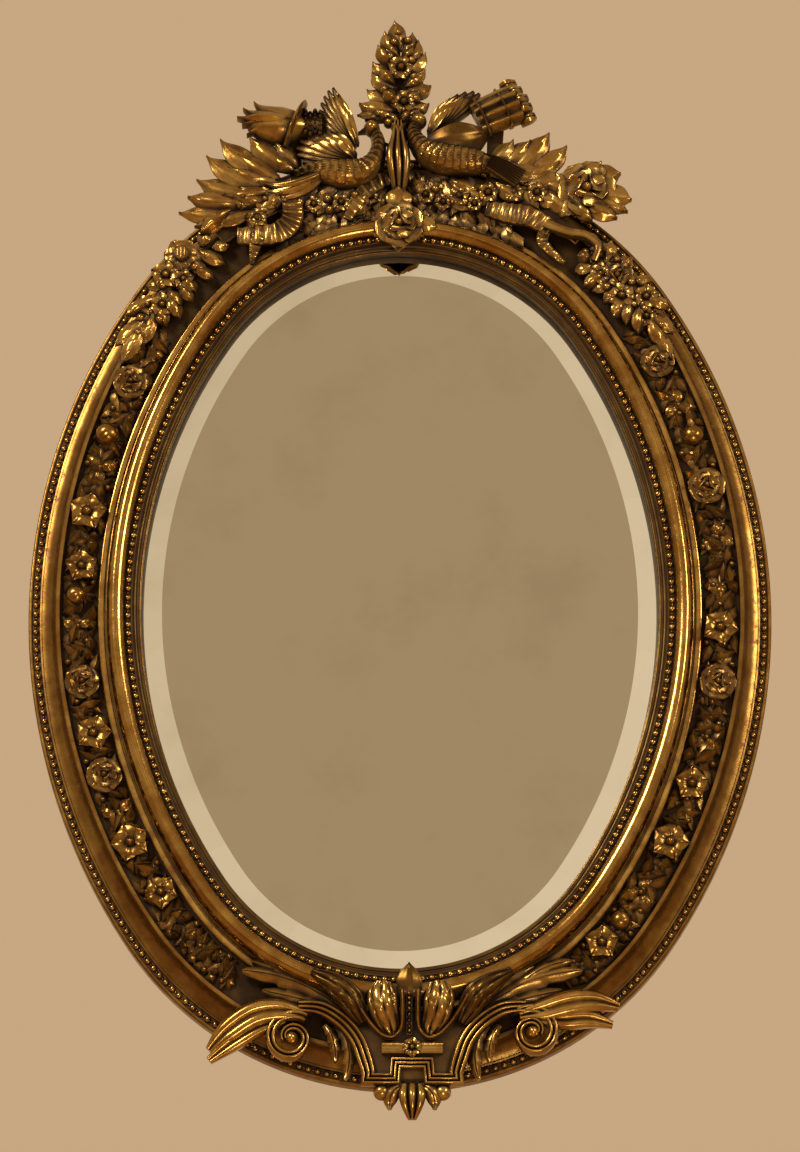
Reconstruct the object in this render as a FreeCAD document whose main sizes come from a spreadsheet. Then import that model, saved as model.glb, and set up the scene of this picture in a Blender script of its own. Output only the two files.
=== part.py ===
import FreeCAD
import Part
import Sketcher
import math
import os
from functools import partial
from FreeCAD import Vector

# Oval gilt wall mirror with a carved crest of two doves, after the French taste of the 1860s.
# Millimetres and degrees. The origin is the centre of the oval on the wall, +Z is up and the
# front looks along -Y, so a height off the wall, called a rise here, is -Y. The oval is the
# joiner's oval of four arcs. An inset is a distance inwards from its outer edge, and a bearing
# is the angle of the edge's outward direction, from +X towards +Z.

SIZES = {
    # the oval over its outer edge
    "half_width": 375,
    "half_height": 490,
    "shoulder": 50,
    # carcass, in four jointed segments
    "carcass_depth": 37,
    # outer moulding: bead seat, hollow and fillet
    "rim_width": 4,
    "bead_seat": 7.5,
    "rim_depth": 16,
    "hollow_width": 17.5,
    "fillet_width": 4,
    "fillet_rise": 6,
    "hollow_sag": 5,
    # frieze, step and burnished round
    "frieze_width": 38,
    "step_width": 8,
    "round_width": 19,
    "round_rise": 22,
    "round_shoulder": 10,
    # sight slip and its rebate
    "slip_width": 17,
    "slip_rise": 18,
    "rebate_step": 6,
    "slip_fall": 7,
    # rows of beads
    "bead_width": 6.2,
    "bead_rise": 5,
    # mirror plate and what holds it
    "glass_thickness": 5,
    "bevel_width": 30,
    "bevel_depth": 2,
    "glass_clearance": 1.5,
    "block_width": 14,
    "block_length": 45,
    "block_count": 6,
    # back
    "board_thickness": 5,
    "board_lap": 24,
    "brad_width": 2,
    "brad_length": 20,
    "brad_count": 12,
    "brad_edge": 10,
    "bumper_radius": 6,
    "bumper_bearing": 58,
    # hangers: strap, screw and ring
    "hanger_bearing": 15,
    "hanger_offset": 7,
    "strap_width": 12,
    "strap_length": 26,
    "strap_thickness": 0.8,
    "knuckle_wall": 0.9,
    "ring_wire": 2.2,
    "pin_play": 0.2,
    "ring_width": 20,
    "ring_drop": 17,
    "screw_offset": 9,
    "screw_radius": 1.5,
    "screw_head_radius": 3,
    "screw_head_rise": 1.6,
    "screw_length": 18,
    # carved work
    "crest_datum": 31,
    "foot_datum": 31,
    "batten_width": 14,
    "batten_drop": 2,
    "batten_thickness": 6,
    "crest_span": 78,
    "mast_width": 14,
    "mast_height": 92,
    "dove_rise": 26,
    "wing_rise": 13,
    "leaf_rise": 10,
    "flower_rise": 11,
    "ribbon_rise": 7,
    "quiver_rise": 30,
    "torch_rise": 26,
    "cluster_radius": 294,
    "strap_rise": 15,
    "cartouche_offset": 12,
    "cartouche_rise": 10,
}

doc = FreeCAD.newDocument("Mirror")
sheet = doc.addObject("Spreadsheet::Sheet", "Sizes")
for row, (alias, number) in enumerate(SIZES.items(), 1):
    sheet.set(f"A{row}", alias)
    sheet.set(f"B{row}", str(number))
    sheet.setAlias(f"B{row}", alias)
doc.recompute()


def named(*aliases):
    """An expression that adds up cells of the sheet."""
    return " + ".join(f"Sizes.{alias}" for alias in aliases)


def size(expression):
    """The number that an expression stands for."""
    result = sheet.evalExpression(expression)
    return float(getattr(result, "Value", result))


# the oval's geometry: centres of its side and end arcs, and where they meet; the shoulder is how
# much smaller the radius of the ends is than half the width
WIDTH = "Sizes.half_width"
HEIGHT = "Sizes.half_height"
SHOULDER = "Sizes.shoulder"
END = f"({WIDTH} - {SHOULDER})"
END_CENTRE = f"({HEIGHT} - {END})"
SIDE_CENTRE = f"(({END_CENTRE}^2 - {SHOULDER}^2) / (2 * {SHOULDER}))"
SIDE = f"({WIDTH} + {SIDE_CENTRE})"
SIDE_TURN = f"atan({END_CENTRE} / {SIDE_CENTRE})"

# insets of the section's corners
PEARL_AT = named("rim_width")
HOLLOW_AT = named("rim_width", "bead_seat")
FILLET_AT = HOLLOW_AT + " + Sizes.hollow_width"
FRIEZE_AT = FILLET_AT + " + Sizes.fillet_width"
STEP_AT = FRIEZE_AT + " + Sizes.frieze_width"
ROUND_AT = STEP_AT + " + Sizes.step_width"
SLIP_AT = ROUND_AT + " + Sizes.round_width"
REBATE_AT = SLIP_AT + " + Sizes.rebate_step"
SIGHT_AT = SLIP_AT + " + Sizes.slip_width"
GLASS_AT = REBATE_AT + " + Sizes.glass_clearance"
BOARD_AT = REBATE_AT + " - Sizes.board_lap"
HANGER_AT = FRIEZE_AT + " + Sizes.hanger_offset"
FILLET_MIDDLE = FILLET_AT + " + Sizes.fillet_width / 2"
FRIEZE_MIDDLE = FRIEZE_AT + " + Sizes.frieze_width / 2"

# rises of the section's corners off the wall
REAR = "Sizes.board_thickness"
GROUND = REAR + " + Sizes.carcass_depth"
PEARL_SEAT = REAR + " + Sizes.rim_depth"
FILLET = GROUND + " + Sizes.fillet_rise"
ROUND_TOP = FILLET + " + Sizes.round_rise"
SLIP_TOP = GROUND + " + Sizes.slip_rise"
GLASS = GROUND
GLASS_BACK = f"{GLASS} - Sizes.glass_thickness"
CREST = FILLET + " + Sizes.batten_thickness"

nodes = {}


def keep(name, shape_owner):
    """Notes an object of the document as one node of the part."""
    shape_owner.Label = name
    nodes[name] = shape_owner
    return shape_owner


# ---------------------------------------------------------------- sketches and sweeps


def plane(body, role):
    return next(item for item in body.Origin.OriginFeatures if item.Role == role)


def new_sketch(body, name, role, offset="0"):
    sketch = body.newObject("Sketcher::SketchObject", name)
    sketch.AttachmentSupport = (plane(body, role), [""])
    sketch.MapMode = "FlatFace"
    sketch.setExpression("AttachmentOffset.Base.z", offset)
    sketch.Visibility = False
    return sketch


def hold(sketch, item, point, across, up):
    """Ties a point of a sketch to two expressions."""
    for kind, expression in (("DistanceX", across), ("DistanceY", up)):
        place = sketch.addConstraint(Sketcher.Constraint(kind, -1, 1, item, point, size(expression)))
        sketch.setExpression(f"Constraints[{place}]", expression)


def polygon_sketch(body, name, role, corners, offset="0"):
    """A closed outline of straight edges through pairs of expressions."""
    sketch = new_sketch(body, name, role, offset)
    points = [Vector(size(across), size(up), 0) for across, up in corners]
    for index, point in enumerate(points):
        following = points[(index + 1) % len(points)]
        sketch.addGeometry(Part.LineSegment(point, following), False)
    for index, (across, up) in enumerate(corners):
        following = (index + 1) % len(points)
        sketch.addConstraint(Sketcher.Constraint("Coincident", index, 2, following, 1))
        hold(sketch, index, 1, across, up)
    return sketch


def oval_sketch(body, name, inset="0", offset="0"):
    """The oval of four arcs; the right one is in two so that the path starts at its middle."""
    sketch = new_sketch(body, name, "XZ_Plane", offset)
    span = f"sqrt({SIDE_CENTRE}^2 + {END_CENTRE}^2)"
    joint_across = f"(({END} - ({inset})) * {SIDE_CENTRE} / {span})"
    joint_up = f"({END_CENTRE} + ({END} - ({inset})) * {END_CENTRE} / {span})"
    starts = [
        (f"{WIDTH} - ({inset})", "0"),
        (joint_across, joint_up),
        (f"-{joint_across}", joint_up),
        (f"-{joint_across}", f"-{joint_up}"),
        (joint_across, f"-{joint_up}"),
    ]
    centres = [
        (f"-{SIDE_CENTRE}", "0"),
        ("0", END_CENTRE),
        (SIDE_CENTRE, "0"),
        ("0", f"-{END_CENTRE}"),
        (f"-{SIDE_CENTRE}", "0"),
    ]
    for index, (start, centre) in enumerate(zip(starts, centres)):
        finish = starts[(index + 1) % len(starts)]
        middle = Vector(size(centre[0]), size(centre[1]), 0)
        first = Vector(size(start[0]), size(start[1]), 0) - middle
        last = Vector(size(finish[0]), size(finish[1]), 0) - middle
        circle = Part.Circle(middle, Vector(0, 0, 1), first.Length)
        turn = (math.atan2(first.y, first.x), math.atan2(last.y, last.x))
        sketch.addGeometry(Part.ArcOfCircle(circle, *turn), False)
        hold(sketch, index, 3, *centre)
        hold(sketch, index, 1, *start)
        place = sketch.addConstraint(
            Sketcher.Constraint("DistanceY", -1, 1, index, 2, size(finish[1]))
        )
        sketch.setExpression(f"Constraints[{place}]", finish[1])
    return sketch


def section(corners):
    """Turns (inset, rise) corners into a section at the oval's right-hand end."""
    return [(f"{WIDTH} - ({inset})", f"-({rise})") for inset, rise in corners]


def arc_corners(first, last, sag, count):
    """Corners of a hollow (sag above 0) or a round (below 0) worked as flats between two
    (inset, rise) corners."""
    corners = []
    for step in range(1, count):
        share = step / count
        bow = f"({sag}) * {4 * share * (1 - share)}"
        inset = f"({first[0]}) * {1 - share} + ({last[0]}) * {share} + ({bow})"
        rise = f"({first[1]}) * {1 - share} + ({last[1]}) * {share} - ({bow}) * 0.6"
        corners.append((inset, rise))
    return corners


# ---------------------------------------------------------------- frame


def add_arc(body, name, side, corners):
    """Turns a section about the centre of one of the oval's four arcs."""
    across, up = side
    if across:
        outline = [(f"({across}) * ({WIDTH} - ({i}))", f"-({r})") for i, r in corners]
        sketch = polygon_sketch(body, name + "_section", "XY_Plane", outline)
        axis = Part.LineSegment(Vector(0, 0, 0), Vector(0, 1, 0))
        angle = f"2 * {SIDE_TURN}"
        centre = (f"-({across}) * {SIDE_CENTRE}", "0")
        level = "Vertical"
    else:
        outline = [(f"-({r})", f"({up}) * ({HEIGHT} - ({i}))") for i, r in corners]
        sketch = polygon_sketch(body, name + "_section", "YZ_Plane", outline)
        axis = Part.LineSegment(Vector(0, 0, 0), Vector(1, 0, 0))
        angle = f"180 deg - 2 * {SIDE_TURN}"
        centre = ("0", f"({up}) * {END_CENTRE}")
        level = "Horizontal"
    line = sketch.addGeometry(axis, True)
    sketch.addConstraint(Sketcher.Constraint(level, line))
    sketch.addConstraint(Sketcher.Constraint("Distance", line, 1))
    hold(sketch, line, 1, *centre)
    turned = body.newObject("PartDesign::Revolution", name + "_turned")
    turned.Profile = sketch
    turned.ReferenceAxis = (sketch, ["Axis0"])
    turned.setExpression("Angle", angle)
    turned.Midplane = True
    doc.recompute()


ARCS = {"right": (1, 0), "top": (0, 1), "left": (-1, 0), "bottom": (0, -1)}


def turned_ring(name, corners):
    """A moulding with one section round all four arcs."""
    body = doc.addObject("PartDesign::Body", name)
    for label, side in ARCS.items():
        add_arc(body, f"{name}_{label}", side, corners)
    return keep(name, body)


def on_side(bearing):
    """Whether a bearing falls on one of the two side arcs."""
    turn = math.radians(bearing)
    lean = abs(math.atan2(math.sin(turn), abs(math.cos(turn))))
    return lean <= math.radians(size(SIDE_TURN))


def arc_radius(bearing):
    return size(SIDE) if on_side(bearing) else size(END)


def oval_point(bearing, inset):
    """The place (x, z) at a bearing and an inset."""
    turn = math.radians(bearing)
    if on_side(bearing):
        centre = (-math.copysign(size(SIDE_CENTRE), math.cos(turn)), 0)
    else:
        centre = (0, math.copysign(size(END_CENTRE), math.sin(turn)))
    radius = arc_radius(bearing) - inset
    return (centre[0] + radius * math.cos(turn), centre[1] + radius * math.sin(turn))


def square_brads():
    """Cut brads through the backboard into the carcass, flush with the board's back."""
    width = size("Sizes.brad_width")
    inset = size(BOARD_AT + " + Sizes.brad_edge")
    count = int(size("Sizes.brad_count"))
    brads = []
    for index in range(count):
        across, up = oval_point(360 * (index + 0.5) / count, inset)
        corner = Vector(across - width / 2, -size("Sizes.brad_length"), up - width / 2)
        brads.append(Part.makeBox(width, size("Sizes.brad_length"), width, corner))
    return Part.makeCompound(brads)


def feature(name, shape):
    """An object whose shape is made with Part's own functions."""
    holder = doc.addObject("Part::Feature", name)
    holder.Shape = shape
    return holder


CARCASS = [
    (FRIEZE_AT, REAR),
    (FRIEZE_AT, GROUND),
    (REBATE_AT, GROUND),
    (REBATE_AT, REAR),
]
HOLLOW_FROM = (HOLLOW_AT, PEARL_SEAT)
HOLLOW_TO = (FILLET_AT, FILLET)
OUTER_MOULDING = [
    ("0", REAR),
    ("0", PEARL_SEAT),
    HOLLOW_FROM,
    *arc_corners(HOLLOW_FROM, HOLLOW_TO, "Sizes.hollow_sag", 3),
    HOLLOW_TO,
    (FRIEZE_AT, FILLET),
    (FRIEZE_AT, REAR),
]
ROUND = [
    (STEP_AT, GROUND),
    (STEP_AT, FILLET),
    (ROUND_AT, FILLET),
    (ROUND_AT + " + Sizes.round_width * 0.33", ROUND_TOP),
    (ROUND_AT + " + Sizes.round_width * 0.67", ROUND_TOP),
    (SLIP_AT, f"{ROUND_TOP} - Sizes.round_shoulder"),
    (SLIP_AT, GROUND),
]
BEVEL_FALL = "Sizes.bevel_depth / Sizes.bevel_width"
LIP = f"{GLASS} - Sizes.bevel_depth"
SLIP = [
    (SLIP_AT, GROUND),
    (SLIP_AT, SLIP_TOP),
    (f"{SLIP_AT} + Sizes.bead_seat", SLIP_TOP),
    (SIGHT_AT, f"{SLIP_TOP} - Sizes.slip_fall"),
    (SIGHT_AT, f"{LIP} + (({SIGHT_AT}) - ({GLASS_AT})) * {BEVEL_FALL}"),
    (REBATE_AT, GROUND),
]


def bead_strip(inset, rise):
    """The solid strip that a row of beads is pressed from."""
    start = f"{inset} + (Sizes.bead_seat - Sizes.bead_width) / 2"
    return [
        (start, rise),
        (f"{start} + Sizes.bead_width / 2", f"{rise} + Sizes.bead_rise"),
        (f"{start} + Sizes.bead_width", rise),
    ]


turned_ring("outer_moulding", OUTER_MOULDING)
turned_ring("outer_bead_row", bead_strip(PEARL_AT, PEARL_SEAT))
turned_ring("burnished_round", ROUND)
turned_ring("sight_slip", SLIP)
turned_ring("inner_bead_row", bead_strip(SLIP_AT, SLIP_TOP))

brads = keep("backboard_brads", feature("brads", square_brads()))


OFF_WALL = Vector(0, -1, 0)


def hanger_place(side):
    bearing = size("Sizes.hanger_bearing")
    across, up = oval_point(bearing, size(HANGER_AT))
    return Vector(side * across, 0, up)


def flatted(radius, start, run, sides=10):
    """A small round bar with flats for its curve, from a place along a run."""
    ahead = Vector(run).normalize()
    across = ahead.cross(Vector(0, 0, 1))
    above = across.cross(ahead)
    corners = []
    for index in range(sides + 1):
        angle = 2 * math.pi * (index + 0.5) / sides
        reach = across * (radius * math.cos(angle)) + above * (radius * math.sin(angle))
        corners.append(start + reach)
    return Part.Face(Part.makePolygon(corners)).extrude(run)


def hanger_screw(side):
    """A pan-head screw through the strap into the carcass."""
    place = hanger_place(side) - Vector(0, 0, size("Sizes.screw_offset"))
    seat = size(f"{REAR} - Sizes.strap_thickness")
    rise = size("Sizes.screw_head_rise")
    length = size("Sizes.screw_length")
    head = flatted(size("Sizes.screw_head_radius"), place + OFF_WALL * (seat - rise), OFF_WALL * rise)
    shank = flatted(size("Sizes.screw_radius"), place + OFF_WALL * seat, OFF_WALL * length)
    return head.fuse(shank)


screws = keep(
    "hanger_screws", feature("screws", Part.makeCompound([hanger_screw(-1), hanger_screw(1)]))
)
fixings = feature("fixings", Part.makeCompound(brads.Shape.Solids + screws.Shape.Solids))
for label, side in ARCS.items():
    segment = doc.addObject("PartDesign::Body", f"carcass_{label}_blank")
    add_arc(segment, f"carcass_{label}", side, CARCASS)
    cut = doc.addObject("Part::Cut", f"carcass_{label}_drilled")
    cut.Base = segment
    cut.Tool = fixings
    keep("carcass_" + label, cut)
doc.recompute()

# ---------------------------------------------------------------- mirror plate and back


def oval_plate(name, inset, rear, thickness):
    body = doc.addObject("PartDesign::Body", name)
    outline = oval_sketch(body, name + "_outline", inset, rear)
    pad = body.newObject("PartDesign::Pad", name + "_pad")
    pad.Profile = outline
    pad.setExpression("Length", thickness)
    doc.recompute()
    return body


glass = oval_plate("mirror_plate", GLASS_AT, GLASS_BACK, "Sizes.glass_thickness")
bevel_path = oval_sketch(glass, "bevel_path", GLASS_AT)
BEVEL = [
    (f"{GLASS_AT} - 1", f"{GLASS} + 1"),
    (f"{GLASS_AT} - 1", f"{LIP} - {BEVEL_FALL}"),
    (f"{GLASS_AT} + Sizes.bevel_width", GLASS),
    (f"{GLASS_AT} + Sizes.bevel_width", f"{GLASS} + 1"),
]
bevel = glass.newObject("PartDesign::SubtractivePipe", "bevel")
bevel.Profile = polygon_sketch(glass, "bevel_section", "XY_Plane", section(BEVEL))
bevel.Spine = (bevel_path, [])
doc.recompute()
keep("mirror_plate", glass)


def glazing_blocks():
    """Pine blocks that follow the rebate and press the mirror plate forward."""
    inner = size(REBATE_AT)
    width = size("Sizes.block_width")
    count = int(size("Sizes.block_count"))
    half = size("Sizes.block_length") / 2
    depth = size(f"{GLASS_BACK} - ({REAR})")
    rear = -size(REAR)
    blocks = []
    for index in range(count):
        bearing = 360 * (index + 0.5) / count
        turn = math.degrees(half / (arc_radius(bearing) - inner))
        near = [oval_point(bearing + shift, inner) for shift in (-turn, 0, turn)]
        far = [oval_point(bearing + shift, inner + width) for shift in (turn, 0, -turn)]
        wall = Part.Arc(*[Vector(x, rear, z) for x, z in near]).toShape()
        face = Part.Arc(*[Vector(x, rear, z) for x, z in far]).toShape()
        sides = [
            Part.makeLine(wall.Vertexes[-1].Point, face.Vertexes[0].Point),
            Part.makeLine(face.Vertexes[-1].Point, wall.Vertexes[0].Point),
        ]
        outline = Part.Wire([wall, sides[0], face, sides[1]])
        blocks.append(Part.Face(outline).extrude(OFF_WALL * depth))
    return Part.makeCompound(blocks)


keep("glazing_blocks", feature("blocks", glazing_blocks()))
board = oval_plate("board_blank", BOARD_AT, "0", "Sizes.board_thickness")
pierced = doc.addObject("Part::Cut", "board_pierced")
pierced.Base = board
pierced.Tool = brads
keep("backboard", pierced)


def bumpers():
    pads = []
    for side in (-1, 1):
        across, up = oval_point(-size("Sizes.bumper_bearing"), size(HANGER_AT))
        start = Vector(side * across, 0, up)
        pads.append(flatted(size("Sizes.bumper_radius"), start, OFF_WALL * size(REAR)))
    return Part.makeCompound(pads)


keep("wall_bumpers", feature("bumpers", bumpers()))

# the pin of each ring lies in the strap's rolled knuckle, which fills the gap behind the frame
KNUCKLE_BORE = "(Sizes.ring_wire / 2 + Sizes.pin_play)"
KNUCKLE = f"({KNUCKLE_BORE} + Sizes.knuckle_wall)"
PIN_RISE = f"({REAR} - {KNUCKLE})"


def hanger_strap(side):
    """A brass strap with one end rolled round the ring's pin."""
    place = hanger_place(side)
    width = size("Sizes.strap_width")
    thickness = size("Sizes.strap_thickness")
    across = Vector(width, 0, 0)
    centre = place + OFF_WALL * size(PIN_RISE) - across / 2
    corner = place + Vector(-width / 2, -size(REAR), -size("Sizes.strap_length"))
    leaf = Part.makeBox(width, thickness, size("Sizes.strap_length"), corner)
    roll = flatted(size(KNUCKLE), centre, across)
    bore = Part.makeCylinder(size(KNUCKLE_BORE), width, centre, across)
    hole = hanger_screw(side)
    return leaf.fuse(roll).cut(bore).cut(hole)


def hanger_ring(side):
    """A D of square wire on a round pin, hanging down from the knuckle."""
    wire = size("Sizes.ring_wire")
    half = size("Sizes.ring_width") / 2
    drop = size("Sizes.ring_drop")
    centre = hanger_place(side) + OFF_WALL * size(PIN_RISE)
    rim = centre + OFF_WALL * (-wire / 2)
    corners = []
    for reach, top in ((half, wire / 2), (half - wire, wire / 2)):
        row = [Vector(-reach, 0, top)]
        for step in range(7):
            angle = math.pi * step / 6
            row.append(Vector(-reach * math.cos(angle), 0, half - drop - reach * math.sin(angle)))
        row.append(Vector(reach, 0, top))
        corners.append(row)
    outline = [rim + corner for corner in corners[0] + corners[1][::-1] + corners[0][:1]]
    bow = Part.Face(Part.makePolygon(outline)).extrude(OFF_WALL * wire)
    start = centre - Vector(half - wire / 2, 0, 0)
    pin = Part.makeCylinder(wire / 2, 2 * half - wire, start, Vector(1, 0, 0))
    return bow.fuse(pin)


keep("hanger_straps", feature("straps", Part.makeCompound([hanger_strap(-1), hanger_strap(1)])))
for label, side in {"left": -1, "right": 1}.items():
    keep(label + "_hanger_ring", feature(label + "_ring", hanger_ring(side)))

# ---------------------------------------------------------------- carved work

LARGE_FLOWER = 20
RIDGE = [(-1, 0), (0, 1), (1, 0)]
BAND = [(-1, 0), (-0.7, 1), (0.7, 1), (1, 0)]
ROUNDED = [(-1, 0), (-0.85, 0.5), (-0.4, 0.93), (0.4, 0.93), (0.85, 0.5), (1, 0)]
FLUTED_HALF = [(-1, 0), (-0.9, 0.6), (-0.6, 0.6), (-0.5, 0.95)]
FLUTED = FLUTED_HALF + [(0, 0.8)] + [(-across, up) for across, up in reversed(FLUTED_HALF)]


# the carver's two datum lines, so far outside the middle of the fillet
CREST_DATUM = f"({HEIGHT} - ({FILLET_MIDDLE}) + Sizes.crest_datum)"
FOOT_DATUM = f"({HEIGHT} - ({FILLET_MIDDLE}) + Sizes.foot_datum)"


def crest_spot(across, up):
    """A place in the crest, from its datum line."""
    return (across, size(CREST_DATUM) + up)


def foot_spot(across, up):
    """A place in the cartouche, from its datum line."""
    return (across + size("Sizes.cartouche_offset"), up - size(FOOT_DATUM))


def cluster_spot(middle, bearing, offset):
    """A place in a shoulder cluster, which is carved to one radius about its middle bearing."""
    anchor = oval_point(middle, size(FILLET_MIDDLE))
    radius = size("Sizes.cluster_radius")
    turn = math.radians(middle)
    centre = (anchor[0] - radius * math.cos(turn), anchor[1] - radius * math.sin(turn))
    reach = radius - offset
    turn = math.radians(bearing)
    return (centre[0] + reach * math.cos(turn), centre[1] + reach * math.sin(turn))


def frieze_spot(bearing, offset):
    """A place so far inside the middle of the frieze."""
    return oval_point(bearing, size(FRIEZE_MIDDLE) + offset)


def faceted(rings):
    """A closed solid with flat facets between like rings of corners, and flat ends."""
    faces = [Part.Face(Part.makePolygon(ring + ring[:1])) for ring in (rings[0], rings[-1])]
    for ring, following in zip(rings, rings[1:]):
        for index, corner in enumerate(ring):
            beside = (index + 1) % len(ring)
            quad = [corner, ring[beside], following[beside], following[index]]
            normal = (quad[1] - quad[0]).cross(quad[2] - quad[0])
            if abs(normal.dot(quad[3] - quad[0])) < 1e-6:
                faces.append(Part.Face(Part.makePolygon(quad + quad[:1])))
            else:
                for side in ((0, 1, 2), (0, 2, 3)):
                    corners = [quad[place] for place in side]
                    faces.append(Part.Face(Part.makePolygon(corners + corners[:1])))
    solid = Part.makeSolid(Part.makeShell(faces))
    if solid.Volume < 0:
        solid.reverse()
    return solid


def carve(outline, path, widths, rises, seats):
    """Carries a flat-backed section along a path of (x, z) places."""
    if isinstance(seats, (int, float)):
        seats = [seats] * len(path)
    rings = []
    for index, (x, z) in enumerate(path):
        before = path[max(index - 1, 0)]
        after = path[min(index + 1, len(path) - 1)]
        run = Vector(after[0] - before[0], 0, after[1] - before[1]).normalize()
        side = Vector(run.z, 0, -run.x) * (widths[index] / 2)
        base = Vector(x, -seats[index], z)
        corners = [base + side * across + OFF_WALL * (rises[index] * up) for across, up in outline]
        rings.append(corners)
    return faceted(rings)


def leaf(root, tip, width, rise, seat, bend=0.0):
    """A pointed leaf with a midrib ridge; bend bows it to one side."""
    across = (root[1] - tip[1], tip[0] - root[0])
    stations = [(0, 0.35, 0.6, 0), (0.45, 1, 1, 1), (1, 0.06, 0.3, 0)]
    path = []
    for share, _, _, bow in stations:
        x = root[0] + (tip[0] - root[0]) * share + across[0] * bend * bow
        z = root[1] + (tip[1] - root[1]) * share + across[1] * bend * bow
        path.append((x, z))
    widths = [width * station[1] for station in stations]
    rises = [rise * station[2] for station in stations]
    return carve(RIDGE, path, widths, rises, seat)


def blossom(place, radius, petals, rise, seat, notch=0.62, turn=90):
    """A flower: pointed petals that rise to a button, cupped where it is large."""
    levels = [(1, notch, 0), (0.3, 0.26, 1)]
    if radius > LARGE_FLOWER:
        levels.insert(1, (0.88, notch * 0.75, 0.6))
    rings = []
    for tip, valley, height in levels:
        corners = []
        for index in range(2 * petals):
            angle = math.radians(turn + 180 * index / petals)
            reach = radius * (valley if index % 2 else tip)
            x = place[0] + reach * math.cos(angle)
            z = place[1] + reach * math.sin(angle)
            corners.append(Vector(x, -(seat + rise * height), z))
        rings.append(corners)
    return faceted(rings)


def boss(place, radius, rise, seat, sides=6):
    """A round fruit, berry or bead with flats for its curve."""
    levels = [(0.85, 0), (1, 0.35), (0.6, 0.9)]
    rings = []
    for share, height in levels:
        corners = []
        for index in range(sides):
            angle = 2 * math.pi * index / sides
            x = place[0] + radius * share * math.cos(angle)
            z = place[1] + radius * share * math.sin(angle)
            corners.append(Vector(x, -(seat + rise * height), z))
        rings.append(corners)
    return faceted(rings)


def carving(name, pieces, fitted_to=()):
    """One carved piece, joined from its forms and let in behind those already placed."""
    joined = pieces[0].multiFuse(pieces[1:]) if len(pieces) > 1 else pieces[0]
    for neighbour in fitted_to:
        joined = joined.cut(nodes[neighbour].Shape)
    largest = max(solid.Volume for solid in joined.Solids)
    solids = [solid for solid in joined.Solids if solid.Volume > largest / 20]
    shape = solids[0] if len(solids) == 1 else Part.makeCompound(solids)
    return keep(name, feature(name + "_form", shape))


def group(name, pieces):
    """Like ornaments that lie apart on the frieze."""
    return keep(name, feature(name + "_forms", Part.makeCompound(pieces)))


crest = size(CREST)
fillet = size(FILLET)
ground = size(GROUND)
round_top = size(ROUND_TOP)
leaf_rise = size("Sizes.leaf_rise")
flower_rise = size("Sizes.flower_rise")

# --- crest: curved batten on the fillet, with arms behind the tall forms

batten = doc.addObject("PartDesign::Body", "crest_batten_body")
BATTEN_FROM = f"{HEIGHT} - ({FILLET_MIDDLE}) + Sizes.batten_width / 2 - Sizes.batten_drop"
BATTEN_TO = f"{BATTEN_FROM} - Sizes.batten_width"
outline = [
    (f"-({FILLET})", BATTEN_FROM),
    (f"-({CREST})", BATTEN_FROM),
    (f"-({CREST})", BATTEN_TO),
    (f"-({FILLET})", BATTEN_TO),
]
band_sketch = polygon_sketch(batten, "batten_section", "YZ_Plane", outline)
band_axis = band_sketch.addGeometry(Part.LineSegment(Vector(0, 0, 0), Vector(1, 0, 0)), True)
band_sketch.addConstraint(Sketcher.Constraint("Horizontal", band_axis))
band_sketch.addConstraint(Sketcher.Constraint("Distance", band_axis, 1))
hold(band_sketch, band_axis, 1, "0", END_CENTRE)
band = batten.newObject("PartDesign::Revolution", "batten_turned")
band.Profile = band_sketch
band.ReferenceAxis = (band_sketch, ["Axis0"])
band.setExpression("Angle", "Sizes.crest_span")
band.Midplane = True
doc.recompute()
HALF_MAST = "Sizes.mast_width / 2"
MAST_TOP = "Sizes.mast_height"
ARMS = {
    "mast": [
        (f"-{HALF_MAST}", "-34"), (HALF_MAST, "-34"), (HALF_MAST, MAST_TOP), (f"-{HALF_MAST}", MAST_TOP),
    ],
    "torch_arm": [("-112", "-46"), ("-98", "-46"), ("-104", "32"), ("-122", "32")],
    "quiver_arm": [("88", "-46"), ("102", "-46"), ("108", "40"), ("90", "40")],
    "dove_arm": [("-62", "-40"), ("-50", "-40"), ("-50", "14"), ("-62", "14")],
}
for label, corners in ARMS.items():
    raised = [(across, f"{CREST_DATUM} + {up}") for across, up in corners]
    arm_sketch = polygon_sketch(batten, label + "_outline", "XZ_Plane", raised, FILLET)
    arm = batten.newObject("PartDesign::Pad", label)
    arm.Profile = arm_sketch
    arm.setExpression("Length", "Sizes.batten_thickness")
    doc.recompute()
keep("crest_batten", batten)


def crest_path(*spots):
    return [crest_spot(*spot) for spot in spots]


def foot_path(*spots):
    return [foot_spot(*spot) for spot in spots]


def crest_leaves(rows, rise, seat):
    """Leaves given as (root x, root z, tip x, tip z, width, bend)."""
    return [
        leaf(crest_spot(a, b), crest_spot(c, d), width, rise, seat, bend)
        for a, b, c, d, width, bend in rows
    ]


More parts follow.
